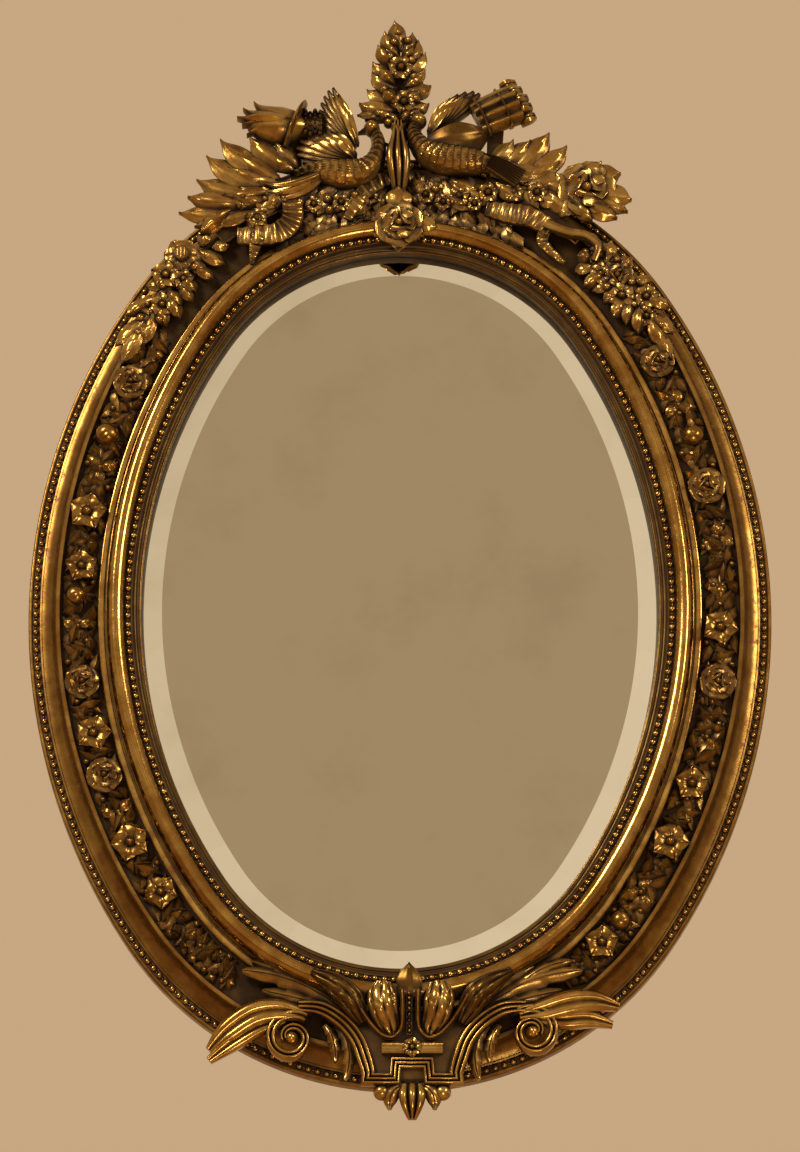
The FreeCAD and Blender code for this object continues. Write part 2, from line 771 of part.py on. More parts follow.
dove = size("Sizes.dove_rise")
wing = size("Sizes.wing_rise")
carving("left_dove", [
    carve(
        ROUNDED,
        crest_path(
            (-139, -49), (-114, -32), (-88, -26), (-62, -31), (-38, -31), (-24, -17), (-20, 2), (-30, 14),
        ),
        [8, 14, 20, 30, 30, 20, 15, 8],
        [dove * share for share in (0.3, 0.45, 0.7, 1, 1, 0.9, 0.8, 0.4)],
        crest,
    ),
    carve(RIDGE, crest_path((-42, 2), (-56, 22), (-66, 42), (-70, 61)), [12, 34, 28, 6],
          [wing * 1.4, wing * 1.3, wing, wing * 0.4], crest),
    carve(ROUNDED, crest_path((-44, -12), (-62, -4), (-84, -1), (-103, -1)), [18, 30, 28, 12],
          [wing * 1.4, wing * 1.4, wing * 1.2, wing * 0.6], crest),
])
carving("right_dove", [
    carve(
        ROUNDED,
        crest_path((123, -38), (102, -28), (82, -18), (58, -17), (34, -14), (18, 0), (14, 16), (22, 26)),
        [22, 20, 20, 32, 32, 22, 16, 8],
        [dove * share for share in (0.35, 0.5, 0.7, 1, 1, 0.9, 0.8, 0.4)],
        crest,
    ),
    carve(RIDGE, crest_path((30, 18), (44, 34), (60, 44), (76, 50)), [14, 28, 28, 18],
          [wing * 1.5, wing * 1.3, wing, wing * 0.8], crest),
    carve(ROUNDED, crest_path((28, 2), (44, 11), (64, 15), (84, 11)), [12, 30, 32, 14],
          [wing * 1.4, wing * 1.6, wing * 1.5, wing], crest),
])
carving("quiver", [
    carve(FLUTED, crest_path((76, 25), (100, 37), (125, 48)), [42, 46, 48],
          [size("Sizes.quiver_rise") * share for share in (0.9, 1, 1)], crest),
], ["right_dove"])
carving("torch", [
    carve(ROUNDED, crest_path((-100, 20), (-116, 22), (-138, 23), (-155, 26), (-166, 28)),
          [26, 44, 46, 30, 8],
          [size("Sizes.torch_rise") * share for share in (0.7, 1, 1, 0.8, 0.4)], crest),
], ["left_dove"])
carving("torch_hoop", [
    carve(BAND, crest_path((-98, 46), (-104, 32), (-110, 16), (-118, -3)), [8, 9, 9, 8],
          [size("Sizes.torch_rise") * 1.25] * 4, crest),
], ["torch", "left_dove"])
carving("centre_stem", [
    carve(ROUNDED, crest_path((0, 18), (0, 0), (0, -22), (0, -44), (0, -58)), [6, 14, 18, 14, 8],
          [flower_rise * share for share in (0.8, 1.3, 1.5, 1.2, 0.8)], crest),
], ["left_dove", "right_dove"])

finial_flowers = [(0, 86, 14), (-1, 60, 15), (0, 36, 14)]
finial_leaves = [
    (0, 100, -6, 137, 15, 0), (-2, 92, -19, 122, 13, 0.1), (2, 92, 15, 122, 13, -0.1),
    (-4, 74, -31, 100, 16, 0.1), (4, 74, 24, 108, 15, -0.1), (-4, 56, -34, 70, 17, 0.1),
    (4, 58, 31, 66, 16, -0.1), (-4, 38, -38, 52, 17, 0.1), (4, 40, 30, 44, 15, -0.1),
    (-4, 30, -36, 28, 14, -0.1),
]
carving(
    "finial_spray",
    [blossom(crest_spot(x, z), radius, 5, flower_rise * 1.4, crest) for x, z, radius in finial_flowers]
    + crest_leaves(finial_leaves, leaf_rise, crest),
    ["left_dove", "right_dove", "centre_stem"],
)

# --- crest: sprays, rose and ribbons

left_leaves = [
    (-112, -28, -154, 9, 20, 0.05), (-124, -34, -184, 7, 22, 0.08), (-134, -44, -198, -11, 22, 0.08),
    (-146, -52, -208, -37, 20, 0.08), (-156, -62, -217, -56, 19, 0.06), (-166, -72, -226, -73, 18, 0.05),
    (-166, -80, -210, -88, 15, -0.05), (-118, -44, -152, -34, 18, 0), (-134, -62, -172, -60, 17, 0),
]
carving("left_leaf_spray", crest_leaves(left_leaves, leaf_rise * 1.2, crest), ["left_dove", "torch"])
right_leaves = [
    (90, -22, 113, 10, 17, -0.05), (112, -30, 150, 17, 20, -0.06), (128, -34, 167, 3, 17, -0.08),
    (92, -30, 150, -28, 22, 0), (52, -38, 80, -50, 14, 0), (52, -34, 66, -62, 13, 0),
    (96, -40, 126, -56, 18, 0),
]
carving("right_leaf_spray", crest_leaves(right_leaves, leaf_rise, crest), ["right_dove", "quiver"])
carving("right_rose_cluster", [
    blossom(crest_spot(192, -48), 29, 6, flower_rise * 1.9, crest, 0.8, 20),
    leaf(crest_spot(200, -50), crest_spot(236, -59), 24, leaf_rise, crest),
    leaf(crest_spot(190, -40), crest_spot(222, -31), 24, leaf_rise, crest),
    leaf(crest_spot(184, -58), crest_spot(222, -78), 22, leaf_rise, crest),
    leaf(crest_spot(176, -52), crest_spot(164, -78), 20, leaf_rise, crest),
], ["right_leaf_spray"])
ribbon = size("Sizes.ribbon_rise")
carving("left_ribbon", [
    carve(BAND, crest_path((-122, -36), (-111, -60), (-111, -80), (-122, -94), (-142, -98), (-166, -98)),
          [18, 20, 21, 21, 20, 16], [ribbon] * 6, crest),
    carve(BAND, crest_path((-140, -92), (-148, -110), (-151, -126)), [16, 12, 3], [ribbon] * 3, crest),
], ["left_dove", "left_leaf_spray"])
carving("centre_ribbon", [
    carve(BAND, crest_path((-14, -36), (-28, -40), (-42, -54), (-52, -68)), [16, 18, 16, 10],
          [ribbon] * 4, crest),
], ["left_dove", "centre_stem"])
carving("right_ribbon", [
    carve(BAND, crest_path((90, -70), (110, -74), (132, -78), (153, -90)), [16, 20, 20, 18],
          [ribbon] * 4, crest),
    carve(BAND, crest_path((148, -86), (170, -95), (190, -99), (202, -110), (198, -126)),
          [10, 9, 8, 8, 7], [ribbon * 1.4] * 5, crest),
    carve(BAND, crest_path((148, -92), (146, -106), (166, -126)), [13, 11, 5], [ribbon] * 3, crest),
], ["right_dove", "right_leaf_spray", "right_rose_cluster"])
carving("centre_rosette", [
    blossom(crest_spot(-1, -91), 26, 6, flower_rise * 1.6, round_top, 0.78, 30),
    leaf(crest_spot(-1, -78), crest_spot(-1, -50), 24, leaf_rise, round_top),
    leaf(crest_spot(14, -88), crest_spot(38, -94), 16, leaf_rise, round_top),
])
garland_leaves = [
    (-16, -34, -34, -58, 16, 0), (-34, -35, -50, -72, 16, 0.1), (-54, -38, -76, -70, 18, 0.1),
    (-72, -41, -98, -66, 18, 0.1), (14, -34, 32, -58, 16, 0), (32, -35, 52, -64, 18, -0.1),
    (48, -37, 76, -66, 18, -0.1), (68, -40, 96, -60, 17, -0.1),
]
carving("crest_garland", crest_leaves(garland_leaves, leaf_rise * 0.8, crest), [
    "left_dove", "right_dove", "centre_stem", "centre_ribbon", "right_ribbon", "left_ribbon",
    "left_leaf_spray", "right_leaf_spray", "centre_rosette",
])

# --- hanging clusters at the shoulders, seated on the fillet


def shoulder_cluster(name, middle, stem, flowers, leaves):
    """Flowers as (bearing, offset, radius, petals, rise, notch); leaves as (root bearing, root
    offset, tip bearing, tip offset, width)."""
    spot = partial(cluster_spot, middle)
    return carving(name, [
        carve(BAND, [spot(*place) for place in stem], [12, 14, 13, 6], [5] * 4, fillet),
        *[
            blossom(spot(bearing, offset), radius, petals, flower_rise * rise, fillet, notch)
            for bearing, offset, radius, petals, rise, notch in flowers
        ],
        *[
            leaf(spot(a, b), spot(c, d), width, leaf_rise, fillet)
            for a, b, c, d, width in leaves
        ],
    ])


shoulder_cluster(
    "left_shoulder_cluster", 142, [(134, 3), (140, -1), (146, 0), (155, -1)],
    [(137, -11, 17, 6, 1.5, 0.75), (142, -9, 15, 5, 1.3, 0.62), (148, 8, 12, 5, 1.1, 0.62)],
    [
        (136, 1, 137, 21, 13), (134, -2, 132, 27, 13), (143, -3, 146, -19, 12), (144, 3, 145.5, 23, 13),
        (151, -1, 159, -16, 14), (152, 1, 162, -3, 15),
    ],
)
shoulder_cluster(
    "right_shoulder_cluster", 38, [(44, 7), (39, 3), (34, 1), (26, 0)],
    [(40, 5, 16, 5, 1.4, 0.62), (33, -5, 12, 5, 1.2, 0.8), (36.4, 15, 14, 5, 1.2, 0.42)],
    [
        (30, 1, 24, -11, 14), (29, 3, 22, 4, 15), (35, 15, 33, 35, 13), (42, 11, 43, 39, 12),
        (40, 13, 41, 35, 12), (44, 3, 46, -17, 14),
    ],
)

# --- frieze: composition ornaments pressed on the recessed ground, as (bearing, offset, size)

frieze_roses = [
    (155.5, -2, 16.5), (-162, 0, 16.5), (12.8, -1, 17.5), (27, -1, 16), (-172, -1, 16), (-8, -1, 17),
]
frieze_stars = [
    (170, -1, 17), (175.8, 1, 14.5), (-166.5, 1, 16), (-154.5, -1, 17), (-148.5, 2, 15),
    (-2.3, 1, 16), (-19, 1, 15), (-25.4, -1, 17), (-42.5, 2, 15),
]
frieze_fruits = [(161.5, -3, 12), (178.8, -3, 10), (18.4, -3, 11), (-36.2, 2, 10)]
frieze_sprigs = [
    (165, 0, 17), (-178, -1, 15), (-158, 1, 16.5), (22, -1, 17), (7.4, -1, 17.5), (-13.8, 0, 17),
    (-31.3, 1, 17),
]
frieze_buds = [(-142.8, 4, -138.5), (4.4, 0, 0.6)]
group("frieze_roses", [
    blossom(frieze_spot(bearing, offset), radius, 6, flower_rise * 1.2, ground, 0.8)
    for bearing, offset, radius in frieze_roses
])
group("frieze_star_flowers", [
    blossom(frieze_spot(bearing, offset), radius, 5, flower_rise, ground, 0.45)
    for bearing, offset, radius in frieze_stars
])
group("frieze_fruits", [
    boss(frieze_spot(bearing, offset), radius, radius * 1.1, ground)
    for bearing, offset, radius in frieze_fruits
])


def sprig(bearing, offset, reach):
    """Three leaves from one stem, along the frieze."""
    return blossom(frieze_spot(bearing, offset), reach, 3, leaf_rise * 0.8, ground, 0.34, bearing + 90)


group("frieze_leaf_sprigs", [sprig(*row) for row in frieze_sprigs])


def bud_spray(bearing, offset, tip_bearing):
    """A bud on a stem that hangs along the frieze."""
    turns = [bearing + (tip_bearing - bearing) * share for share in (0, 0.45, 0.7, 1)]
    path = [frieze_spot(turn, offset) for turn in turns]
    return carve(ROUNDED, path, [5, 6, 13, 3], [4, 5, 9, 3], ground)


group("frieze_bud_sprays", [bud_spray(*row) for row in frieze_buds])

# --- cartouche at the foot: block, strapwork, scrolls and leaves

block_top = fillet + size("Sizes.cartouche_rise")
BLOCK_OUTLINE = [(-43, 0), (43, 0), (45, 22), (54, 46), (70, 66), (-70, 66), (-54, 46), (-45, 22)]
block_corners = [Vector(x, -fillet, z) for x, z in foot_path(*BLOCK_OUTLINE)]
block = Part.Face(Part.makePolygon(block_corners + [block_corners[0]])).extrude(
    OFF_WALL * size("Sizes.cartouche_rise")
)
strap = size("Sizes.strap_rise")
STRAP_HALF = [(-43, 2), (-47, 22), (-55, 43), (-70, 61), (-90, 73), (-112, 75)]
STRAP_WIDTHS = [14, 16, 16, 16, 15, 12]
KEY = [(-17, 2), (-16, 18), (16, 18), (17, 2)]
KEY_WIDTH = 12


def mirrored(spots):
    return [(-x, z) for x, z in spots]


strap_line = list(reversed(STRAP_HALF)) + KEY + mirrored(STRAP_HALF)
strap_widths = list(reversed(STRAP_WIDTHS)) + [KEY_WIDTH] * len(KEY) + STRAP_WIDTHS
carving("strapwork", [
    carve(BAND, foot_path(*strap_line), strap_widths, [strap] * len(strap_line), fillet),
])


def volute(side):
    """A scroll that tightens round its eye, from the end of the strapwork."""
    eye = (119, 46)
    spots = []
    count = 15
    for step in range(count):
        share = step / (count - 1)
        angle = math.radians(125 - 500 * share)
        radius = 25 - 18 * share
        spots.append((side * (eye[0] + radius * math.cos(angle)), eye[1] + radius * math.sin(angle)))
    widths = [9 - 3 * step / (count - 1) for step in range(count)]
    rises = [strap + 3 * step / (count - 1) for step in range(count)]
    scroll = carve(BAND, foot_path(*spots), widths, rises, fillet)
    eye_boss = boss(foot_spot(side * eye[0], eye[1]), 7, strap + 5, fillet)
    return [scroll, eye_boss]


carving("left_scroll", volute(-1), ["strapwork"])
carving("right_scroll", volute(1), ["strapwork"])
keep("cartouche_block", feature("block_form", block.cut(nodes["strapwork"].Shape)))


def foot_leaves(rows, rise, seat):
    """Leaves given as (root x, root z, tip x, tip z, width, bend)."""
    return [
        leaf(foot_spot(a, b), foot_spot(c, d), width, rise, seat, bend)
        for a, b, c, d, width, bend in rows
    ]


scrolls = ["strapwork", "left_scroll", "right_scroll"]
carving("left_tip_leaf", foot_leaves(
    [(-116, 76, -198, 44, 22, 0.16), (-150, 66, -204, 34, 15, 0.15)], leaf_rise, fillet), scrolls)
carving("right_tip_leaf", foot_leaves(
    [(116, 78, 202, 80, 20, -0.1), (138, 72, 196, 62, 15, -0.1)], leaf_rise, fillet), scrolls)
for label, side in {"left": -1, "right": 1}.items():
    rows = [(side * 62, 68, side * 166, 110, 18, side * 0.06), (side * 84, 80, side * 136, 84, 14, 0)]
    beside = [label + "_tip_leaf", "cartouche_block", "burnished_round"]
    carving(label + "_upper_acanthus", foot_leaves(rows, leaf_rise, fillet), scrolls + beside)
carving("left_side_acanthus", foot_leaves([(-73, 56, -65, 4, 16, 0.12)], leaf_rise, fillet), scrolls)
carving("right_side_acanthus", foot_leaves([(73, 56, 65, 4, 16, -0.12)], leaf_rise, fillet), scrolls)


def over_round(spots, widths, rises, outline):
    """A form that starts on the block and rides up over the burnished round."""
    low = size(STEP_AT) - 2 * size("Sizes.step_width")
    high = size(STEP_AT)
    seats = []
    path = foot_path(*spots)
    for x, z in path:
        inset = size(END) - math.hypot(x, z + size(END_CENTRE))
        share = min(max((inset - low) / (high - low), 0), 1)
        seats.append(block_top + (round_top - block_top) * share)
    return carve(outline, path, widths, rises, seats)


carving("pearl_string", [
    over_round([(-3, 42), (-3, 56), (-3, 76), (-3, 88)], [5, 6, 6, 5], [3] * 4, BAND),
])
carving("palmette_leaf", [
    over_round([(-3, 82), (-3, 92), (-3, 103), (-3, 117)], [16, 30, 20, 3], [6, 9, 8, 3], RIDGE),
], ["pearl_string"])
for label, side in {"left": -1, "right": 1}.items():
    spots = [(side * x - 1.5, z) for x, z in [(20, 42), (25, 56), (28, 80), (27, 99)]]
    carving(label + "_inner_acanthus", [over_round(spots, [20, 31, 32, 16], [9, 12, 11, 6], ROUNDED)],
            ["pearl_string", "palmette_leaf", "burnished_round"])
    spots = [(side * x, z) for x, z in [(47, 62), (60, 82), (74, 95), (92, 107)]]
    carving(label + "_round_acanthus", [over_round(spots, [12, 24, 20, 8], [7, 10, 9, 5], RIDGE)],
            [label + "_inner_acanthus", label + "_upper_acanthus", "strapwork", "burnished_round"])
carving("blossom_plaque", [
    carve(BAND, foot_path((-30, 31), (30, 31)), [13, 13], [4, 4], block_top),
    blossom(foot_spot(0, 32), 10, 6, flower_rise, block_top, 0.6),
])
carving("drop_acanthus", [
    carve(ROUNDED, foot_path((0, -4), (0, -20), (0, -37)), [34, 26, 8], [12, 13, 5], fillet),
    leaf(foot_spot(-8, -5), foot_spot(-20, -27), 13, leaf_rise, fillet),
    leaf(foot_spot(8, -5), foot_spot(20, -27), 13, leaf_rise, fillet),
], ["strapwork"])
beside_berries = nodes["strapwork"].Shape.fuse(nodes["drop_acanthus"].Shape)
group("drop_berries", [
    boss(foot_spot(side * 30, -10), 8.5, 13, fillet).cut(beside_berries) for side in (-1, 1)
])

# ---------------------------------------------------------------- checks and files

doc.recompute()
failed = [item.Name for item in doc.Objects if {"Invalid", "Error"} & set(item.State)]
if failed:
    raise RuntimeError(f"these objects failed: {failed}")
for name, owner in nodes.items():
    if owner.Shape.isNull() or not owner.Shape.isValid():
        raise RuntimeError(f"{name} has no valid shape")
os.makedirs("parts", exist_ok=True)
for name, owner in nodes.items():
    owner.Shape.exportStep(f"parts/{name}.step")
print(len(nodes), "nodes,", sum(len(owner.Shape.Solids) for owner in nodes.values()), "solids")
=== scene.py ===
import math

import bmesh
import bpy
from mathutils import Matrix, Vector


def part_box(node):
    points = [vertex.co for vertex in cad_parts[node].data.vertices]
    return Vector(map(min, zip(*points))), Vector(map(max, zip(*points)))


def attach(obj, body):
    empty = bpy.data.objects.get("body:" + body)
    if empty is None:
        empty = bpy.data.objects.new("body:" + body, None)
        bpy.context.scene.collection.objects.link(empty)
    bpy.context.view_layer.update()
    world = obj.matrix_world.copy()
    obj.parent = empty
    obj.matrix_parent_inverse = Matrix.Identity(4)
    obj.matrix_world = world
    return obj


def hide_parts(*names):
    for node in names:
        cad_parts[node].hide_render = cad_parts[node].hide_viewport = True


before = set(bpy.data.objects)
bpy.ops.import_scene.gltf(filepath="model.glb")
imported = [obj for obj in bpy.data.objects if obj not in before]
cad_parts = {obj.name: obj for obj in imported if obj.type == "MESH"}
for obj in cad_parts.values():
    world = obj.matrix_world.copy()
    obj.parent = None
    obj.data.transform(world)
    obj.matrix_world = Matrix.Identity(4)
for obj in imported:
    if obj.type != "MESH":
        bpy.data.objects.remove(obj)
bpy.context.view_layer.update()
RIM_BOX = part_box("outer_moulding")
GLASS_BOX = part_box("mirror_plate")

bl_info = {
    "name": "Oval Gilt Mirror",
    "version": (1, 0, 0),
    "blender": (4, 5, 0),
    "location": "View3D > Sidebar > Mirror",
    "description": "Dresses the frame of a carved and gilded oval wall mirror",
    "category": "Add Mesh",
}

# Places on the mirror are in millimetres: x to the right, z up from the oval's centre, and the
# rise off the wall, which is -Y. An inset is a distance inwards from the oval's outer edge, a
# bearing the angle of the edge's outward direction, in degrees from +X towards +Z.

MM = 0.001
HALF_WIDTH = RIM_BOX[1][0] / MM
HALF_HEIGHT = RIM_BOX[1][2] / MM

# the end arcs' radius is less than the half width by this
SHOULDER = 50

# insets and rises of the mouldings
REAR = 5
PEARL_SEAT = 21
FILLET_IN = 29
FRIEZE_IN = 33
STEP_IN = 71
SLIP_IN = 98
SIGHT_IN = 115
GROUND = 42
FILLET = 48
ROUND_TOP = 70
SLIP_TOP = 60
FILLET_MIDDLE = (FILLET_IN + FRIEZE_IN) / 2
FRIEZE_MIDDLE = (FRIEZE_IN + STEP_IN) / 2
OUTER_PEARLS_IN = 7.6
INNER_PEARLS_IN = 101.7
PEARL_SUNK = 0.6
SPACER_SHARE = 0.16

# the plate's edge lies this far behind its face
BEVEL_DROP = 2

# rises of the crest's batten and the cartouche's block, and how far right the cartouche stands
CREST = 54
BLOCK_TOP = 58
CARTOUCHE_OFFSET = 12

# how deep a carved piece is let into what it lies on
LET_IN = 0.4


# ---------------------------------------------------------------- sizes and colours to set


class MirrorSizes(bpy.types.PropertyGroup):
    """Sizes of the pearls and the plate"""

    pearl: bpy.props.FloatProperty(
        name="Pearl", description="Diameter of the pearls", default=6.3 * MM, unit="LENGTH"
    )
    outer_pearls: bpy.props.IntProperty(
        name="Outer pearls", description="Pearls round the outer edge", default=287, min=3
    )
    inner_pearls: bpy.props.IntProperty(
        name="Inner pearls", description="Pearls round the sight edge", default=224, min=3
    )
    bevel: bpy.props.FloatProperty(
        name="Bevel", description="Width of the plate's bevel", default=30 * MM, unit="LENGTH"
    )


class GiltColours(bpy.types.PropertyGroup):
    """Colours of the gilding"""

    gold: bpy.props.FloatVectorProperty(
        name="Gold", description="Worn leaf on the high places", subtype="COLOR", size=4,
        default=(0.30, 0.182, 0.048, 1), min=0, max=1,
    )
    bright: bpy.props.FloatVectorProperty(
        name="Burnished gold", description="Leaf polished on the round", subtype="COLOR", size=4,
        default=(0.47, 0.305, 0.088, 1), min=0, max=1,
    )
    # near-black umber: the glaze that stays in the hollows, and also the painted shade laid there
    umber_and_shade: bpy.props.FloatVectorProperty(
        name="Umber", description="Toned glaze that stays in the hollows", subtype="COLOR", size=4,
        default=(0.018, 0.0085, 0.003, 1), min=0, max=1,
    )
    bole: bpy.props.FloatVectorProperty(
        name="Bole", description="Red clay that shows where the leaf is rubbed", subtype="COLOR", size=4,
        default=(0.11, 0.036, 0.012, 1), min=0, max=1,
    )


class StageSettings(bpy.types.PropertyGroup):
    """The camera's place and the colour round the mirror"""

    distance: bpy.props.FloatProperty(
        name="Distance", description="Camera to mirror", default=7.0, unit="LENGTH"
    )
    pitch: bpy.props.FloatProperty(
        name="Pitch", description="How far the camera looks up", default=math.radians(17), subtype="ANGLE"
    )
    surround: bpy.props.FloatVectorProperty(
        name="Surround", description="Colour round the mirror", subtype="COLOR", size=4,
        default=(0.57, 0.39, 0.225, 1), min=0, max=1,
    )


# ---------------------------------------------------------------- the oval


class Oval:
    """The joiner's oval of four arcs."""

    def __init__(self, half_width, half_height, shoulder):
        self.end = half_width - shoulder
        self.end_centre = half_height - self.end
        self.side_centre = (self.end_centre**2 - shoulder**2) / (2 * shoulder)
        self.side = half_width + self.side_centre
        self.turn = math.atan(self.end_centre / self.side_centre)
        self.top = half_height

    def place(self, bearing, inset):
        """The place (x, z) at a bearing in degrees and an inset."""
        angle = math.radians(bearing)
        lean = abs(math.atan2(math.sin(angle), abs(math.cos(angle))))
        if lean <= self.turn:
            middle = (-math.copysign(self.side_centre, math.cos(angle)), 0)
            reach = self.side - inset
        else:
            middle = (0, math.copysign(self.end_centre, math.sin(angle)))
            reach = self.end - inset
        return (middle[0] + reach * math.cos(angle), middle[1] + reach * math.sin(angle))

    def bearings(self, per_side=44, per_end=64):
        """Bearings all the way round, closer on the tight ends."""
        turn = math.degrees(self.turn)
        arcs = [(-turn, turn, per_side), (turn, 180 - turn, per_end)]
        arcs += [(180 - turn, 180 + turn, per_side), (180 + turn, 360 - turn, per_end)]
        return [low + (high - low) * k / count for low, high, count in arcs for k in range(count)]


OVAL = Oval(HALF_WIDTH, HALF_HEIGHT, SHOULDER)


def crest_at(x, z):
    """A place in the crest, from the middle of the oval's top edge."""
    return (x, OVAL.top + z)


def foot_at(x, z):
    """A place in the cartouche, from the middle of the oval's bottom edge."""
    return (x + CARTOUCHE_OFFSET, z - OVAL.top)


def fillet_at(bearing, offset):
    """A place on the fillet, at an offset inwards from its middle."""
    return OVAL.place(bearing, FILLET_MIDDLE + offset)


def frieze_at(bearing, offset):
    """A place on the frieze, at an offset inwards from its middle."""
    return OVAL.place(bearing, FRIEZE_MIDDLE + offset)


def round_oval(inset, rise, bearings):
    """Places (x, rise, z) all the way round at one inset and rise."""
    return [(x, rise, z) for x, z in (OVAL.place(bearing, inset) for bearing in bearings)]


# ---------------------------------------------------------------- forms

# outlines: widths from root to tip, as shares of the widest
POINTED = [(0.34,), (0.78,), (1,), (0.86,), (0.5,), (0.03,)]
BAY = [(0.26,), (0.8,), (1,), (0.84,), (0.08,)]
PETAL = [(0.24,), (0.62,), (0.95,), (1,), (0.35,)]
STAR_PETAL = [(0.3,), (0.8,), (1,), (0.6,), (0.05,)]
FEATHER = [(0.5,), (0.8,), (1,), (1,), (0.72,), (0.2,)]
ACANTHUS = [(0.5,), (0.85,), (1,), (1,), (0.85,), (0.3,)]
BEAK = [(1,), (0.8,), (0.35,), (0.06,)]
SHAFT = [(1,), (1,), (1,), (0.9,), (0.6,)]

# sections: corners from side to side, as shares of the half width and of the rise
ROUNDED = [(-1, 0), (-0.94, 0.34), (-0.8, 0.6), (-0.55, 0.84), (-0.28, 0.96), (0, 1),
           (0.28, 0.96), (0.55, 0.84), (0.8, 0.6), (0.94, 0.34), (1, 0)]
FLAT_BAND = [(-1, 0.3), (-0.96, 0.9), (-0.84, 1), (-0.6, 0.9), (-0.2, 0.86), (0.2, 0.86),
             (0.6, 0.9), (0.84, 1), (0.96, 0.9), (1, 0.3)]

# corners across a leaf, and across one of the small leaves
LEAF_SHARES = (-1, -0.93, -0.82, -0.6, -0.34, -0.12, 0, 0.12, 0.34, 0.6, 0.82, 0.93, 1)
FEW_SHARES = (-1, -0.55, 0, 0.55, 1)


def eased(rows, count):
    """Rows of numbers on a smooth curve through the given rows."""
    last = len(rows) - 1
    result = []
    for k in range(count):
        along = k / (count - 1) * last
        i = min(int(along), last - 1)
        f = along - i
        a, b, c, d = rows[max(i - 1, 0)], rows[i], rows[i + 1], rows[min(i + 2, last)]
        row = []
        for p, q, r, s in zip(a, b, c, d):
            cubic = (3 * q - p - 3 * r + s) * f**3
            square = (2 * p - 5 * q + 4 * r - s) * f**2
            row.append(0.5 * (2 * q + (r - p) * f + square + cubic))
        result.append(row)
    return result


def between(low, high, value):
    """0 below low, 1 above high, and an even ease in the middle."""
    share = min(max((value - low) / (high - low), 0), 1)
    return share * share * (3 - 2 * share)


class Form:
    """Collects the faces of one carved piece from places (x, rise, z) in millimetres."""

    def __init__(self):
        self.points = []
        self.faces = []

    def ring(self, places):
        """Adds a row of places and gives its corners."""
        start = len(self.points)
        self.points += [(x * MM, -rise * MM, z * MM) for x, rise, z in places]
        return list(range(start, len(self.points)))

    def loft(self, rings, closed=False):
        """Skins like rings; a run that isn't closed gets its two ends filled."""
        rows = [self.ring(places) for places in rings]
        pairs = list(zip(rows, rows[1:]))
        if closed:
            pairs.append((rows[-1], rows[0]))
        for row, following in pairs:
            for k, corner in enumerate(row):
                beside = (k + 1) % len(row)
                self.faces.append((corner, row[beside], following[beside], following[k]))
        if not closed:
            self.faces.append(tuple(reversed(rows[0])))
            self.faces.append(tuple(rows[-1]))

    def to_object(self, name, finish, slot, sharp=38):
        """Makes the piece; edges that turn by more than sharp degrees stay crisp."""
        mesh = bpy.data.meshes.new(name)
        mesh.from_pydata(self.points, [], self.faces)
        work = bmesh.new()
        work.from_mesh(mesh)
        bmesh.ops.recalc_face_normals(work, faces=work.faces)
        limit = math.radians(sharp)
        for edge in work.edges:
            edge.smooth = edge.calc_face_angle(0) < limit
        for face in work.faces:
            face.smooth = True
        work.to_mesh(mesh)
        work.free()
        mesh.materials.append(finish)
        piece = bpy.data.objects.new(name, mesh)
        bpy.context.scene.collection.objects.link(piece)
        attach(piece, "frame")
        return piece


def stand_for(form, node, finish, slot="gilt_carving", suffix="_carved", sharp=38):
    """Makes the piece and shows it in place of its plain solid."""
    piece = form.to_object(node + suffix, finish, slot, sharp)
    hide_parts(node)
    return piece


def carve(form, rows, profile, steps=20, relief=None, smooth=True):
    """Carries a section along rows of (x, z, width, rise, seat).

    relief gives what a place adds to the height, from its share of the way along and across.
    """
    stations = eased(rows, steps) if smooth else rows
    last = len(stations) - 1
    rings = []
    for k, (x, z, width, rise, seat) in enumerate(stations):
        here = Vector((x, z))
        before = here - Vector(stations[max(k - 1, 0)][:2])
        after = Vector(stations[min(k + 1, last)][:2]) - here
        first = (before if k else after).normalized()
        second = (after if k < last else before).normalized()
        run = (first + second).normalized()
        reach = width / 2 / max(run.dot(second), 0.5)
        side = Vector((run.y, -run.x)) * reach
        ring = []
        for across, up in profile:
            height = rise * up
            if relief:
                height += relief(k / last, across)
            ring.append((x + side.x * across, seat + max(height, 0), z + side.y * across))
        for across in (0.9, 0, -0.9):
            ring.append((x + side.x * across, seat - LET_IN, z + side.y * across))
        rings.append(ring)
    form.loft(rings)


